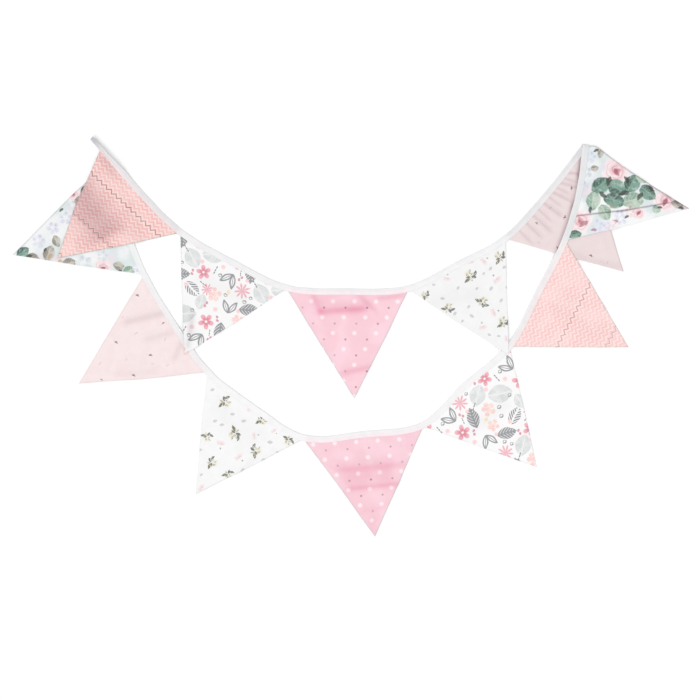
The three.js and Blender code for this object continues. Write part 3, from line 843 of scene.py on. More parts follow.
def rosePrint(plan):
    wash = noiseOf(plan, 0.022, 2.0)
    colour = paint((247, 249, 249), (222, 233, 232), wash.ramp(0.38, 0.66))
    colour = paint(colour, (232, 231, 242), noiseOf(plan, 0.035, 2.0).ramp(0.5, 0.72) * 0.8)
    colour = paint(colour, (244, 228, 232), noiseOf(plan, 0.03, 1.0).ramp(0.58, 0.75) * 0.7)
    washed = noiseOf(plan, 0.13, 3.0)
    big, kind = motifLayer(plan, "motifs")
    shaky = wobble(wobble(big, 1.5, 0.3), 5.0, 0.07)
    outline, radius = bloom(shaky, (0, 0), 0.98, 5, 0.78, 20, 0.12, 0.6)
    x, y, _ = splitVector(shaky)
    swirl = (y.math("ARCTAN2", x) * (1 / (2 * math.pi)) + radius * 2.6).share()
    loose = noiseOf(shaky, 2.2, 2.0).ramp(0.35, 0.65)
    pink = paint((238, 184, 192), (251, 234, 237), radius.ramp(0.15, 0.8))
    pink = paint(pink, (254, 246, 246), swirl.ramp(0.0, 0.9) * loose * 0.8)
    pink = paint(pink, (206, 120, 134), swirl.below(0.12, 0.12) * radius.below(0.62, 0.25) * loose * 0.7)
    pink = paint(pink, (176, 84, 102), radius.below(0.17, 0.15) * 0.8)
    colour = paint(colour, pink, outline * kind.near(1) * washed.ramp(0.3, 0.5, 0.75, 0.97))
    under, kind = motifLayer(plan, "smallMotifs")
    shaky = wobble(wobble(under, 1.3, 0.2), 4.5, 0.08)
    grain = noiseOf(shaky, 1.7, 3.0)
    blade, along, across = leaf(shaky, (0, 0), (1.0, 0.7), 0, 0.1)
    side = (across + (grain - 0.5) * 3.0).ramp(-0.6, 0.6)
    veins = abs((along * 3.4 - abs(across) * 1.6).share() - 0.5).below(0.1, 0.12) * 0.3
    rib = abs(across).below(0.05, 0.06) * 0.5
    for number, (light, deep) in leafTints.items():
        green = paint(light, deep, side)
        green = paint(green, tuple(min(255, value + 36) for value in light), anyOf(veins, rib))
        colour = paint(colour, green, blade * kind.near(number) * washed.ramp(0.3, 0.5, 0.7, 0.95))
    cluster = ovals(shaky, blossomSpots, 0.28)
    for number, (light, deep) in blossomTints.items():
        petals = paint(deep, light, grain.ramp(0.35, 0.6))
        colour = paint(colour, petals, cluster * kind.near(number) * washed.ramp(0.35, 0.6, 0.95, 0.55))
    accent, kind = motifLayer(plan, "accents")
    shaky = wobble(accent, 1.6, 0.4)
    touch = leaf(shaky, (0, 0), (0.95, 0.5), 0, 0.2)[0]
    colour = paint(colour, (72, 76, 68), touch * kind.near(1) * 0.85)
    colour = paint(colour, (172, 100, 112), touch * kind.near(2) * 0.7)
    speck = oval(shaky, (0, 0), (0.8, 0.55), 0, 0.3)
    return paint(colour, (200, 164, 128), speck * kind.near(3) * 0.75)


# Tape: plain white cotton, a little of the pennant inside it showing through

def tapeCloth(plan):
    tint = attributeOf(plan.id_data, "tint").outputs["Color"]
    base = paint((246, 245, 246), (241, 241, 243), noiseOf(plan, 0.08).ramp(0.35, 0.7))
    return paint(base, tint, 0.16)


# By pennant where a print's place differs, and otherwise by print
materials = {
    "01": clothMaterial("zigzag cotton, first cut", zigzagPrint(zigzagCuts["01"]), edge="pink"),
    "07": clothMaterial("zigzag cotton, second cut", zigzagPrint(zigzagCuts["07"]), edge="pink"),
    "03": clothMaterial("dotted cotton, first cut", dottedPrint(dotCuts["03"]), paintedShade="pink", edge="pink"),
    "09": clothMaterial("dotted cotton, second cut", dottedPrint(dotCuts["09"]), paintedShade="pink", edge="pink"),
    "pale": clothMaterial("pale cotton", palePrint),
    "sprig": clothMaterial("sprigged cotton", sprigPrint),
    "woodland": clothMaterial("woodland cotton", woodlandPrint),
    "rose": clothMaterial("rose cotton", rosePrint),
    "tape": clothMaterial("tape cotton", tapeCloth, pitch=0.45, sheen=0.1, paintedShade="tape"),
}
print("cloth materials are ready")


# Where the prints' motifs lie. Each row gives a motif's kind, its place x and y, its size and its turn

# On each cut pennant, in the layout's millimetres
placedMotifs = {
    "04": {"motifs": [
        (1, 237, 126, 13, -10), (1, 190, 96, 14, 4), (1, 210, 55, 13, 75), (1, 243, 22, 13, 15),
        (1, 155, 45, 12, 50), (1, 118, 65, 10, -15), (2, 212, 120, 10, 60), (2, 233, 90, 12, -30),
        (2, 228, 38, 11, 80), (2, 210, 14, 10, 0), (2, 153, 92, 9, 20), (2, 192, 118, 7, 0),
        (3, 161, 105, 4.5, 40), (3, 171, 77, 4.5, 0), (3, 250, 77, 5, 90), (3, 245, 110, 5, 20),
        (3, 221, 2, 4.5, 80),
        (3, 188, 47, 4.5, 0), (3, 193, 32, 5.5, 90), (3, 223, 108, 5, 0), (3, 224, 76, 5.5, 0),
        (3, 240, 57, 5, 0), (3, 146, 60, 5, 60), (3, 166, 36, 5, 0), (3, 201, 76, 4, 20), (3, 132, 82, 4, 50),
        (3, 178, 24, 4, 10), (3, 236, 0, 4, 60), (3, 212, 100, 4, 0), (2, 248, -4, 8, 100),
    ]},
    "10": {"motifs": [
        (1, -202, -106, 13, 40), (1, -187, -156, 14, -75), (1, -231, -161, 11, -10), (1, -223, -203, 12, 60),
        (1, -197, -222, 11, 10), (1, -153, -184, 13, 85), (1, -143, -135, 12, 30), (1, -101, -167, 11, -40),
        (2, -163, -116, 10, 30), (2, -209, -172, 11, -50), (2, -155, -160, 9, 60), (2, -180, -194, 11, 0),
        (2, -240, -243, 10, 10), (2, -124, -152, 8, 0), (3, -190, -125, 5, 0), (3, -218, -136, 5, 20),
        (3, -172, -136, 5.5, 15), (3, -130, -170, 6, 0), (3, -140, -198, 5.5, 10), (3, -174, -215, 5.5, 60),
        (3, -214, -239, 6, 0), (3, -242, -182, 5, 0), (3, -222, -86, 5, 20), (3, -207, -142, 5, 10),
        (3, -183, -98, 4, 40), (3, -240, -222, 4, 40), (3, -118, -186, 4, 0),
    ]},
    "11": {"motifs": [
        (1, -343, 65, 6, 0), (1, -377, -10, 6, -10), (1, -322, -31, 6, 20), (1, -349, -63, 6, 0),
        (1, -301, 20, 5, 60), (1, -400, -70, 4, 0), (2, -344, 4, 5, 0), (2, -298, -6, 5, 40),
        (2, -402, -44, 5, 20), (2, -294, -47, 4, 0), (2, -312, 54, 4, 70), (2, -366, 30, 4, 0),
        (2, -360, -38, 4, 30), (2, -318, -45, 3.5, 0),
    ]},
    "05": {"motifs": [
        (1, 352, 236, 6, 30), (1, 297, 180, 5, -20), (1, 341, 190, 6, 60), (1, 396, 186, 6, 0),
        (1, 330, 140, 6, 10), (1, 384, 128, 6, -30), (2, 368, 210, 5, 0), (2, 318, 205, 5, 40),
        (2, 362, 160, 5, 0), (2, 300, 150, 4, 80), (2, 410, 118, 4, 0), (2, 350, 122, 4, 0),
    ]},
    "06": {
        "motifs": [(1, 424, 264, 25, 0), (1, 366, 184, 22, 90), (1, 502, 216, 21, 40), (1, 398, 306, 9, 0),
                   (1, 460, 197, 13, 20)],
        "smallMotifs": [
            (1, 399, 241, 20, 35), (1, 425, 237, 21, 150), (2, 387, 217, 18, 80), (1, 449, 243, 20, 60),
            (1, 421, 217, 20, -15), (2, 451, 217, 21, 10), (2, 405, 198, 16, -60), (1, 474, 230, 18, -40),
            (3, 383, 286, 12, 0), (5, 376, 262, 13, 30), (3, 371, 240, 11, 60), (5, 452, 266, 11, 0),
            (2, 464, 254, 14, -35), (4, 399, 292, 8, 70), (5, 486, 240, 10, 0), (3, 394, 176, 14, 20),
            (3, 430, 194, 11, 50), (2, 352, 212, 15, 100), (4, 522, 211, 11, -20), (6, 446, 198, 11, 0),
            (6, 358, 226, 10, 0), (4, 389, 268, 8, 10), (1, 358, 162, 12, 10), (5, 410, 176, 9, 0),
            (5, 478, 204, 10, 0), (3, 432, 187, 12, 30), (6, 418, 180, 9, 0), (2, 487, 203, 10, -20),
            (3, 404, 172, 10, 80),
        ],
        "accents": [
            (1, 412, 248, 10, 70), (2, 372, 180, 10, 30), (1, 437, 229, 10, 10), (3, 470, 258, 6, 0),
            (1, 402, 226, 9, 140), (1, 462, 224, 9, 50), (2, 424, 262, 8, 120), (1, 382, 202, 7, 80),
            (3, 416, 206, 5, 20), (2, 502, 214, 8, 60), (1, 392, 297, 6, 20), (1, 528, 205, 6, -10),
            (1, 441, 250, 8, -60), (2, 388, 170, 6, 0), (1, 480, 236, 7, -50), (3, 446, 206, 5, 60),
            (2, 460, 197, 6, 50), (1, 441, 191, 5, 30), (2, 424, 184, 5, -20), (1, 494, 206, 5, 0),
        ],
    },
    "12": {
        "motifs": [(1, -398, 108, 18, 0), (1, -444, 226, 13, 60)],
        "smallMotifs": [
            (3, -500, 152, 14, 0), (3, -477, 173, 13, 40), (3, -457, 189, 13, 10), (5, -446, 208, 12, 0),
            (1, -526, 134, 13, 35), (4, -510, 124, 14, -20), (4, -484, 132, 15, 70), (4, -472, 152, 11, 110),
            (5, -448, 142, 17, 0), (5, -428, 116, 18, 30), (4, -424, 232, 14, 60), (4, -436, 214, 12, 80),
            (4, -452, 116, 14, 10), (5, -398, 128, 12, 0), (4, -372, 112, 11, 160), (2, -356, 104, 13, 20),
            (5, -380, 96, 12, 0), (3, -344, 110, 10, 0), (4, -412, 94, 10, 15), (2, -438, 170, 13, 50),
        ],
        "accents": [
            (1, -428, 236, 8, 50), (1, -432, 217, 7, 90), (1, -516, 128, 7, 10), (3, -482, 128, 8, 60),
            (1, -458, 146, 6, 70), (3, -466, 120, 6, 0), (1, -452, 172, 5, 80), (2, -398, 108, 6, 30),
            (1, -370, 104, 5, 20), (3, -350, 98, 5, 0), (1, -464, 202, 5, 40), (1, -490, 138, 5, 60),
        ],
    },
}

# One repeat of the woodland print in millimetres of the cloth, and where each pennant was cut from it
repeatSize = (124, 108)
repeatMotifs = {
    "motifs": [
        (1, 16, 14, 14, 10), (2, 44, 20, 18, 68), (4, 72, 14, 14, 0), (5, 102, 20, 22, 150),
        (3, 18, 46, 16, 10), (6, 45, 52, 14, 0), (5, 74, 42, 19, 35), (1, 100, 54, 13, 40),
        (4, 8, 78, 14, 30), (2, 68, 74, 17, -28), (3, 38, 84, 15, 165), (7, 96, 86, 17, 20),
        (6, 118, 76, 11, 0), (4, 60, 98, 12, 90), (5, 118, 98, 14, 80),
    ],
    "smallMotifs": [
        (1, 30, 2, 6, 20), (2, 58, 32, 7, 0), (3, 87, 5, 4.4, 0), (5, 0, 32, 6, 0),
        (3, 2, 46, 4.2, 0), (4, 58, 4, 5.5, 0), (1, 33, 36, 6, 80), (5, 90, 40, 6, 0),
        (2, 116, 42, 7, 60), (3, 56, 66, 4.2, 0), (1, 84, 62, 6, 40), (4, 26, 64, 5.5, 30),
        (5, 20, 98, 6, 0), (3, 80, 100, 4.4, 0), (2, 108, 70, 6.5, -20), (5, 84, 84, 5.5, 0),
        (3, 24, 70, 4, 0), (5, 54, 84, 5, 0), (3, 62, 56, 3.8, 0), (1, 3, 98, 6, 60), (3, 112, 8, 4, 0),
        (2, 30, 28, 6, 40), (5, 44, 34, 5, 0),
    ],
}
cuts = {"02": (10, 20, 0), "08": (70, 60, 180)}  # x, y, turn


def turned(points, degrees):
    cosine, sine = math.cos(math.radians(degrees)), math.sin(math.radians(degrees))
    return points @ np.array([[cosine, sine], [-sine, cosine]])


def motifAttribute(mesh, name, rows, centres, corners):
    # Gives each face the motif nearest to it, and each of its corners its place as that motif sees it
    table = np.array(rows, float)
    reach = np.linalg.norm(centres[:, None] - table[None, :, 1:3], axis=2) / table[None, :, 3]
    kind, x, y, size, turn = np.repeat(table[np.argmin(reach, axis=1)], 3, axis=0).T
    angle = np.radians(turn)
    x, y = corners[:, 0] - x, corners[:, 1] - y
    seen = np.stack([(x * np.cos(angle) + y * np.sin(angle)) / size,
                     (-x * np.sin(angle) + y * np.cos(angle)) / size, kind], 1)
    addAttribute(mesh, name, seen, "CORNER")


def layPrint(mesh, pennant, plan, faces):
    corners = plan[faces.ravel()]
    centres = plan[faces].mean(1)
    _, across, _ = planAxes(pennant)
    seamTurn = math.degrees(math.atan2(across[1], across[0]))
    for layer, motifs in placedMotifs.get(pennant["name"], {}).items():
        rows = [(kind, *toPlan(pennant, np.array([[x, y]], float))[0], size, turn - seamTurn)
                for kind, x, y, size, turn in motifs]
        motifAttribute(mesh, layer, rows, centres, corners)
    if pennant["name"] in cuts:
        *start, cutTurn = cuts[pennant["name"]]
        cutCentres, cutCorners = [turned(points, cutTurn) + start for points in (centres, corners)]
        wide, high = repeatSize
        for layer, motifs in repeatMotifs.items():
            rows = [(kind, x + wide * i, y + high * j, size, turn) for kind, x, y, size, turn in motifs
                    for i in range(-3, 4) for j in range(-3, 4)]
            motifAttribute(mesh, layer, rows, cutCentres, cutCorners)


def planAxes(pennant):
    # Along the seam from its middle, and from there towards the tip
    start, end, tip = pennant["corners"]
    across = unit(end - start)
    down = leftOf(across)
    if down @ (tip - start) < 0:
        down = -down
    return (start + end) / 2, across, down


def toPlan(pennant, points):
    middle, across, down = planAxes(pennant)
    return np.stack([(points - middle) @ across, (points - middle) @ down], 1)


# Meshes in the frame's metres

def inMetres(points):
    return np.column_stack([(points[:, :2] + layoutShift) * mm, points[:, 2] * mm])


def facesOutward(points, faces, caps=()):
    # The faces and the end caps, turned over if the faces look inward
    corners = np.array(faces)
    a, b, c, d = [points[corners[:, k]] for k in (0, 1, 2, -1)]
    volume = (np.cross(a, b) * c).sum() + (np.cross(a, c) * d).sum()
    return [face if volume > 0 else face[::-1] for face in (*faces, *caps)]


def addAttribute(mesh, name, values, domain="POINT"):
    # A number, a vector or a colour for each point or face corner of the mesh
    width = 1 if values.ndim == 1 else values.shape[1]
    kind, field = {1: ("FLOAT", "value"), 3: ("FLOAT_VECTOR", "vector"), 4: ("FLOAT_COLOR", "color")}[width]
    mesh.attributes.new(name, kind, domain).data.foreach_set(field, values.astype(np.float32).ravel())


def makeCloth(name, points, faces, plan, marks, material):
    # The plan is every point's place on the flat cloth, and each mark a number or a colour for it
    mesh = bpy.data.meshes.new(name)
    mesh.from_pydata(points.tolist(), [], faces)
    mesh.update()
    loops = np.empty(len(mesh.loops), int)
    mesh.loops.foreach_get("vertex_index", loops)
    uv = mesh.uv_layers.new(name="plan")
    uv.data.foreach_set("uv", (plan * mm)[loops].astype(np.float32).ravel())
    for mark, values in marks.items():
        addAttribute(mesh, mark, values)
    mesh.polygons.foreach_set("use_smooth", [True] * len(mesh.polygons))
    mesh.materials.append(material)
    return placeObject(name, mesh)


# The pennants

pennantMesh = {"steps": 96, "pleatSteps": 150, "tuckRows": 3, "rimInset": 0.22, "rimDrop": 0.08,
               "shoulder": 0.2, "shoulderFade": 4, "bowFade": 1.8}


def bowOut(out, at, share):
    # How far a side bows out at these shares of its way to the tip, most where it says
    shoulder = at < pennantMesh["shoulder"]
    rising = 1 - (1 - np.clip(share / at, 0, 1)) ** 3 if shoulder else smoothStep(share, 0, at)
    fading = ((1 - share) / (1 - at)) ** pennantMesh["shoulderFade" if shoulder else "bowFade"]
    return out * np.where(share < at, rising, fading)


def pennantGrid(pennant):
    # Rows from inside the tape to the tip: how far down, how far along, and how far inside the tape
    steps = pennantMesh["pleatSteps" if pennant["name"] == "06" else "steps"]
    tuckRows = pennantMesh["tuckRows"]
    rows = []
    for row in range(tuckRows):
        rows.append([(0.0, i / steps, sizes["tuck"] * (1 - row / tuckRows)) for i in range(steps + 1)])
    for row in range(steps + 1):
        count = steps - row
        rows.append([(row / steps, i / count if count else 0.5, 0.0) for i in range(count + 1)])
    index, total = [], 0
    for row in rows:
        index.append(list(range(total, total + len(row))))
        total += len(row)
    return np.array([cell for row in rows for cell in row]), index


def pennantPoints(pennant, grid):
    strand, name = pennant["strand"], pennant["name"]
    start, end, tip = pennant["corners"]
    down, along, inside = grid.T
    lengths = mix(pennant["from"], pennant["to"], along)
    places, ways = seamAt(strand["seam"], lengths)

    def awayFrom(corner, other):
        across = leftOf(unit(tip - corner))
        return -across if across @ (other - corner) > 0 else across

    tuck = inside * smoothStep(lengths - pennant["from"], *easing["cornerTuck"])
    roll = tapeRoll(strand, lengths)
    flat = mix(places, tip, down[:, None]) + outwardAt(strand, ways) * (tuck * np.cos(roll))[:, None]
    startBow = (1 - along) * bowOut(pennant["startOut"], pennant["startAt"], down)
    endBow = along * bowOut(pennant["endOut"], pennant["endAt"], down)
    flat += awayFrom(start, end) * startBow[:, None] + awayFrom(end, start) * endBow[:, None]
    drop = down * abs(turnOf(unit(end - start), tip - start))
    steps = np.linspace(pennant["from"], pennant["to"], 49)
    held = np.interp(lengths, steps, tapeLevel(strand, steps))
    held += (sizes["tape"] * np.cos(roll) - sizes["cloth"]) / 2 + tuck * np.sin(roll)
    free = smoothStep(drop, 0, sizes["rise"])
    level = mix(held, lying(flat, name), free)
    bend = waves(flat, seeds["gather"] + int(name), easing["gatherWave"])
    gather = 1 + np.sin(lengths * 2 * math.pi / easing["gatherPitch"] + 2 * bend)
    first, full = easing["gatherStart"]
    reach = smoothStep(drop, first, full) * (1 - smoothStep(drop, full, easing["gatherReach"]))
    level += gather / 2 * easing["gatherHeight"] * reach
    fromSide = np.minimum(segmentDistance(flat, start, tip), segmentDistance(flat, end, tip))
    ending = smoothStep(fromSide, sizes["hemWidth"] - easing["hemSoft"], sizes["hemWidth"])
    turnedEdge = (1 - ending) * smoothStep(drop, *easing["hemStart"])
    return flat, level, sizes["cloth"] + sizes["hem"] * turnedEdge


def buildPennant(pennant):
    name = pennant["name"]
    grid, index = pennantGrid(pennant)
    flat, level, thick = pennantPoints(pennant, grid)
    count = len(flat)
    under = []
    for row, below in zip(index, index[1:]):
        for i in range(len(row) - 1):
            under.append((row[i], below[i], row[i + 1]))
            if i + 1 < len(below):
                under.append((row[i + 1], below[i], below[i + 1]))
    rim = index[0] + [row[-1] for row in index[1:]] + [row[0] for row in reversed(index[1:-1])]
    edge = flat[rim]
    aside = leftOf(unit(np.roll(edge, -1, axis=0) - np.roll(edge, 1, axis=0)))
    aside = np.where(((edge - flat.mean(0)) * aside).sum(1, keepdims=True) < 0, -aside, aside)
    inset = flat.copy()
    inset[rim] -= aside * pennantMesh["rimInset"]
    lowZ, highZ = level.copy(), level + thick
    lowZ[rim] += pennantMesh["rimDrop"]
    highZ[rim] -= pennantMesh["rimDrop"]
    rimZ = level[rim] + thick[rim] / 2
    xy = np.vstack([inset, inset, edge])
    z = np.concatenate([lowZ, highZ, rimZ])
    faces = under + [(a + count, c + count, b + count) for a, b, c in under]
    for i, a in enumerate(rim):
        j = (i + 1) % len(rim)
        b, midA, midB = rim[j], 2 * count + i, 2 * count + j
        faces += [(a, b, midB), (a, midB, midA), (midA, midB, b + count), (midA, b + count, a + count)]
    points = inMetres(np.column_stack([xy, z]))
    faces = facesOutward(points, faces)
    plan = toPlan(pennant, xy)
    edgeShadeAt = edgeShadeMark(flat, index, name)
    marks = {
        "tone": np.full(len(points), pennant["tone"]),
        # painted shade in folds, pleats and cast shadows
        "paintedShade": foldShade(xy, name),
        # painted shade along the cloth's sides
        "edge": np.concatenate([edgeShadeAt, edgeShadeAt, edgeShadeAt[rim]]),
    }
    material = materials.get(name) or materials[pennant["print"]]
    cloth = makeCloth("cloth_%s_%s" % (name, pennant["print"]), points, faces, plan, marks, material)
    layPrint(cloth.data, pennant, plan, np.array(faces))
    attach(cloth, "root")
    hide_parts("pennant_%s_%s" % (name, pennant["print"]))
    wide = np.linalg.norm(pennant["corners"][1] - pennant["corners"][0]) * mm
    print("made", cloth.name, "with", len(faces), "triangles")


for pennant in pennantsByName.values():
    buildPennant(pennant)


# The tape

tapeMesh = {
    "ringStep": 2.6,
    "foldSteps": 14,
    "foldWay": (0.99, -0.16),
    "white": (246, 246, 246),
    "showsThrough": (7.6, 6.4),  # the cloth inside shows between the seam and this far across
    # painted shade on the tape: its rolled end, before the turn, and along its folded edge
    "endShadeDepth": 0.9,
    "endShade": 32,  # how far from the end the rolled tape looks grey
    "turnShades": [(18, 13, 0.2), (1, 4, 0.3)],  # how far before the turn, half how long, and how deep
    "edgeShadeBand": (7.6, 1.9),  # how far across, and half how wide
    "puckerPitch": 13,
    "puckerAcross": (4.5, 2.6),
    "puckerRaise": 1.2,
    "puckerHeight": 0.1,
    "wanderPitch": 45,
    "wanderAcross": (2, 9),  # the folded edge wanders, and the seam stays in line
    "wander": 0.18,
}
stitchLine = {"across": 1.75, "sink": 0.17}
thick, wall = sizes["tape"], sizes["tapeWall"]
# Half of the tape's section, from its folded edge to the turned edge at the seam: across, and down
# from the face
outerHalf = [(9.78, 0.52), (9.2, 0.16), (8.2, 0.03), (6.6, 0), (4.6, 0), (2.6, 0.02),
             (stitchLine["across"], stitchLine["sink"]), (1.0, 0.02), (0.4, 0.04), (0.1, 0.15)]
innerHalf = [(0.1, wall - 0.15), (0.4, wall - 0.04), (1.7, wall), (4.6, wall), (7.6, wall), (8.9, wall + 0.12)]
upperHalf = [(sizes["tapeWidth"], thick / 2), *[(a, thick - d) for a, d in outerHalf], (0, thick - wall / 2),
             *[(a, thick - d) for a, d in innerHalf], (9.3, thick / 2)]
section = np.array([*upperHalf, *reversed(innerHalf), (0, wall / 2), *reversed(outerHalf)])

# What each print adds to the white of the tape that it lies in
insideColours = {"zigzag": (243, 190, 186), "dotted": (250, 190, 205), "pale": (244, 224, 224),
                 "sprig": (240, 242, 238), "woodland": (238, 232, 232), "rose": (214, 224, 220)}

# Painted shade on the tape along each pennant, and more painted shade towards its folded edge
tapeShadeMarks = {
    "01": (0.2, 0.14), "02": (0.09, 0.03), "03": (0, 0.16), "04": (0.04, 0.06), "05": (0.2, 0.14),
    "06": (0.26, 0), "07": (0.06, 0.08), "08": (0, 0.05), "09": (0, 0.03), "10": (0, 0), "11": (0.09, 0),
    "12": (0.05, 0),
}


def ringFrame(strand, lengths, up):
    # Seam point at mid thickness, across and up for rings of the tape at these lengths
    lengths = np.atleast_1d(np.asarray(lengths, float))
    places, ways = seamAt(strand["seam"], lengths)
    outward = np.column_stack([outwardAt(strand, ways), np.zeros(len(lengths))])
    upright = np.array([0, 0, 1.0])
    roll = tapeRoll(strand, lengths)[:, None]
    seam = np.column_stack([places, tapeLevel(strand, lengths) + thick / 2 * np.cos(roll[:, 0])])
    across = outward * np.cos(roll) + upright * np.sin(roll)
    above = (-outward * np.sin(roll) + upright * np.cos(roll)) * up
    return seam, across, above


def foldFrame():
    # The turn: the tape folds back over itself on a slanting line
    arriving = seamAt(upper["seam"], upper["seam"]["total"])[1][0]
    foldLine = unit(np.array(tapeMesh["foldWay"]))
    skew = abs(turnOf(arriving, foldLine))
    past = leftOf(foldLine)
    radius = (thick + sizes["stackGap"]) / 2
    turns = np.linspace(0, math.pi, tapeMesh["foldSteps"] + 1)
    seamPoints = np.column_stack([
        foldPoint[0] + past[0] * radius * np.sin(turns),
        foldPoint[1] + past[1] * radius * np.sin(turns),
        thick / 2 + radius * (1 - np.cos(turns))])
    across = np.tile(np.array([-foldLine[0], -foldLine[1], 0]) / skew, (len(turns), 1))
    above = np.column_stack([-past[0] * np.sin(turns), -past[1] * np.sin(turns), np.cos(turns)])
    return seamPoints, across, above


def evenly(start, end, step=tapeMesh["ringStep"]):
    return np.linspace(start, end, max(2, int(round((end - start) / step)) + 1))


def joinFrames(a, b, count):
    # Rings between the last of one set and the first of the next
    shares = np.linspace(0, 1, count + 2)[1:-1, None]
    return [mix(x[-1], y[0], shares) for x, y in zip(a, b)]


def tapeFrames():
    there = ringFrame(upper, evenly(0, upper["pennants"][-1]["to"]), 1)
    fold = foldFrame()
    back = ringFrame(lower, evenly(lower["pennants"][0]["from"], lower["seam"]["total"]), -1)
    parts = [there, joinFrames(there, fold, 4), fold, joinFrames(fold, back, 2), back]
    return [np.vstack([part[i] for part in parts]) for i in range(3)]


seamPoints, across, above = tapeFrames()
run = np.concatenate([[0], np.cumsum(np.linalg.norm(np.diff(seamPoints, axis=0), axis=1))])


def tapeTints():
    # The colour of the cloth inside at each ring, and the tape's two painted shades there
    tints = np.tile([*map(float, tapeMesh["white"]), 0, 0], (len(run), 1))
    for pennant in pennantsByName.values():
        line = seamAt(pennant["strand"]["seam"], np.linspace(pennant["from"], pennant["to"], 60))[0]
        close = np.linalg.norm(seamPoints[:, None, :2] - line[None], axis=2).min(1) < 3
        tints[close] = (*insideColours[pennant["print"]], *tapeShadeMarks[pennant["name"]])
    ease = np.ones(5) / 5
    return np.column_stack([np.convolve(np.pad(channel, 2, mode="edge"), ease, "valid") for channel in tints.T])


def tapeShadeMarksAt():
    # What each point of the tape's rings shows: the cloth inside it, and its painted shade
    tints = tapeTints()
    side = section[:, 0]
    colours = np.array([tone(*row[:3]) for row in tints])
    inside = smoothStep(side, *tapeMesh["showsThrough"])
    shown = mix(np.array(tone(*tapeMesh["white"])), colours[:, None], inside[None, :, None])
    atTurn = run[np.argmin(np.linalg.norm(seamPoints[:, :2] - foldPoint, axis=1))]
    # Painted shade: grey on the rolled end and before the turn, then along the folded edge
    grey = tapeMesh["endShadeDepth"] * (1 - smoothStep(run, 4, tapeMesh["endShade"])) + tints[:, 3]
    for before, reach, deep in tapeMesh["turnShades"]:
        grey += deep * bell(run, atTurn - before, reach)
    grey = grey[:, None] + np.outer(tints[:, 4], bell(side, *tapeMesh["edgeShadeBand"]))
    return {"tint": shown.reshape(-1, 4), "tone": np.ones(grey.size), "paintedShade": np.minimum(grey, 1).ravel()}


def buildTape():
    rings, size = len(run), len(section)
    side, up = section.T
    onLine = np.column_stack([run, run * 0])
    sideways = waves(onLine, seeds["wander"], tapeMesh["wanderPitch"]) * tapeMesh["wander"]
    pucker = waves(onLine, seeds["pucker"], tapeMesh["puckerPitch"])
    puff = bell(side, *tapeMesh["puckerAcross"]) * tapeMesh["puckerHeight"]
    isOuter = (up > thick - wall / 2) | (up < wall / 2)
    raised = (pucker[:, None] + tapeMesh["puckerRaise"]).clip(0)
    sunk = raised * (puff * np.where(up > thick / 2, 1.0, -1.0) * isOuter)
    outward = side + sideways[:, None] * smoothStep(side, *tapeMesh["wanderAcross"])
    height = up - thick / 2 - sunk
    points = seamPoints[:, None] + across[:, None] * outward[..., None] + above[:, None] * height[..., None]
    points = inMetres(points.reshape(-1, 3))
    faces = []
    for ring in range(rings - 1):
        for i in range(size):
            a, b = ring * size + i, ring * size + (i + 1) % size
            faces.append((a, b, b + size, a + size))
    last = (rings - 1) * size
    faces = facesOutward(points, faces, [tuple(range(size))[::-1], tuple(range(last, last + size))])
    around = np.tile(np.concatenate([[0], np.cumsum(np.linalg.norm(np.diff(section, axis=0), axis=1))]), rings)
    along = np.repeat(run, size)
    # the bias cut sets the threads at 45 degrees to the tape
    plan = np.column_stack([along + around, along - around]) * math.sqrt(0.5)
    return makeCloth("binding_tape", points, faces, plan, tapeShadeMarksAt(), materials["tape"])


tape = buildTape()
print("made the tape with", len(tape.data.polygons), "faces")


# The stitches that close the tape, along both of its faces

stitches = {"pitch": 2.9, "length": 2.2, "thick": 0.42, "margin": 1.2, "floorGap": 0.01,
            "shortest": 0.88, "longest": 1.1}
stitchInputs = {"Pitch": stitches["pitch"] * mm, "Length": stitches["length"] * mm,
                "Thickness": stitches["thick"] * mm}


def threadMaterial():
    material = bpy.data.materials.new("white thread")
    material.use_nodes = True
    tree = material.node_tree
    shader = tree.nodes["Principled BSDF"].inputs
    where = addNode(tree, "ShaderNodeTexCoord").outputs["Object"]
    grain = addNode(tree, "ShaderNodeTexNoise", {"Vector": where, "Scale": 2600.0, "Detail": 2.0})
    ply = Signal(grain.outputs[0])
    feed(shader["Base Color"], paint((236, 235, 236), (251, 250, 250), ply.ramp(0.35, 0.65)))
    feed(shader["Roughness"], ply * 0.2 + 0.5)
    bump = addNode(tree, "ShaderNodeBump", {"Height": ply, "Strength": 0.3, "Distance": 0.0001})
    feed(shader["Normal"], bump.outputs["Normal"])
    shader["Sheen Weight"].default_value = 0.1
    return material


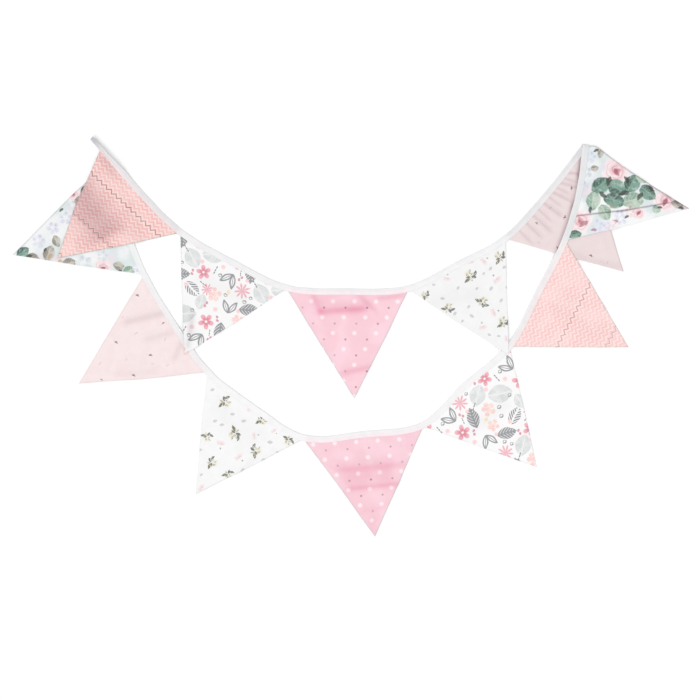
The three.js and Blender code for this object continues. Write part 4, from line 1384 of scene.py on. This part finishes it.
def stitchTree(thread):
    # Geometry nodes: a stitch at every pitch along the path, lying along it and on the tape's face
    tree = bpy.data.node_groups.new("row of stitches", "GeometryNodeTree")
    tree.interface.new_socket("Path", in_out="INPUT", socket_type="NodeSocketGeometry")
    for name, value in stitchInputs.items():
        tree.interface.new_socket(name, in_out="INPUT", socket_type="NodeSocketFloat").default_value = value
    tree.interface.new_socket("Stitches", in_out="OUTPUT", socket_type="NodeSocketGeometry")
    given = tree.nodes.new("NodeGroupInput").outputs
    made = tree.nodes.new("NodeGroupOutput")
    facing = addNode(tree, "GeometryNodeInputNamedAttribute", {"Name": "facing"}, data_type="FLOAT_VECTOR")
    curve = addNode(tree, "GeometryNodeMeshToCurve", {"Mesh": given["Path"]})
    spaced = addNode(tree, "GeometryNodeResampleCurve", {
        "Curve": curve.outputs["Curve"], "Length": given["Pitch"]}, mode="LENGTH")
    tangent = addNode(tree, "GeometryNodeInputTangent").outputs["Tangent"]
    lengthwise = addNode(tree, "FunctionNodeAlignRotationToVector", {"Vector": tangent}, axis="X")
    upright = addNode(tree, "FunctionNodeAlignRotationToVector", {
        "Rotation": lengthwise.outputs[0], "Vector": facing.outputs["Attribute"]}, axis="Z", pivot_axis="X")
    ball = addNode(tree, "GeometryNodeMeshUVSphere", {"Segments": 8, "Rings": 5, "Radius": 0.5})
    scaleBy = addNode(tree, "ShaderNodeCombineXYZ", {
        "X": given["Length"], "Y": given["Thickness"], "Z": given["Thickness"]})
    uneven = addNode(tree, "FunctionNodeRandomValue", {
        "Seed": 5, 2: stitches["shortest"], 3: stitches["longest"]}, data_type="FLOAT")
    scaled = vectorMath("SCALE", {0: scaleBy.outputs[0], "Scale": uneven.outputs[1]})
    placedStitches = addNode(tree, "GeometryNodeInstanceOnPoints", {
        "Points": spaced.outputs["Curve"], "Instance": ball.outputs["Mesh"], "Rotation": upright.outputs[0],
        "Scale": scaled})
    real = addNode(tree, "GeometryNodeRealizeInstances", {0: placedStitches.outputs[0]})
    smooth = addNode(tree, "GeometryNodeSetShadeSmooth", {0: real.outputs[0]})
    painted = addNode(tree, "GeometryNodeSetMaterial", {"Geometry": smooth.outputs[0], "Material": thread})
    tree.links.new(painted.outputs["Geometry"], made.inputs["Stitches"])
    return tree


def stitchPath(face):
    # The points of a row of stitches, on the tape's upper or lower face
    height = (thick / 2 - stitchLine["sink"] - stitches["thick"] * 0.1) * face
    keep = (run > stitches["margin"]) & (run < run[-1] - stitches["margin"])
    points = seamPoints + across * stitchLine["across"] + above * height
    return points[keep], (above * face)[keep]


def buildStitches():
    points, facing, edges = [], [], []
    for face in (1, -1):
        rowPoints, rowFacing = stitchPath(face)
        first = sum(len(row) for row in points)
        edges += [(first + i, first + i + 1) for i in range(len(rowPoints) - 1)]
        points.append(rowPoints)
        facing.append(rowFacing)
    points, facing = np.vstack(points), np.vstack(facing)
    path = bpy.data.meshes.new("stitch path")
    path.from_pydata(inMetres(points).tolist(), edges, [])
    addAttribute(path, "facing", facing)
    maker = placeObject("stitch path", path)
    tree = stitchTree(threadMaterial())
    modifier = maker.modifiers.new("stitches", "NODES")
    modifier.node_group = tree
    for item in tree.interface.items_tree:
        if item.in_out == "INPUT" and item.name in stitchInputs:
            modifier[item.identifier] = stitchInputs[item.name]
    bpy.context.view_layer.update()
    evaluated = maker.evaluated_get(bpy.context.evaluated_depsgraph_get())
    mesh = bpy.data.meshes.new_from_object(evaluated)
    mesh.name = "tape_stitches"
    places = np.empty(len(mesh.vertices) * 3)
    mesh.vertices.foreach_get("co", places)
    places[2::3] = np.maximum(places[2::3], stitches["floorGap"] * mm)  # pressed flat on the floor
    mesh.vertices.foreach_set("co", places)
    mesh.update()
    bpy.data.objects.remove(maker)
    return placeObject("tape_stitches", mesh)


thread = buildStitches()
print("made the stitches with", len(thread.data.polygons), "faces")

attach(tape, "root")
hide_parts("tape")
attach(thread, "root")
print("tape is", round(float(run[-1])), "mm long")
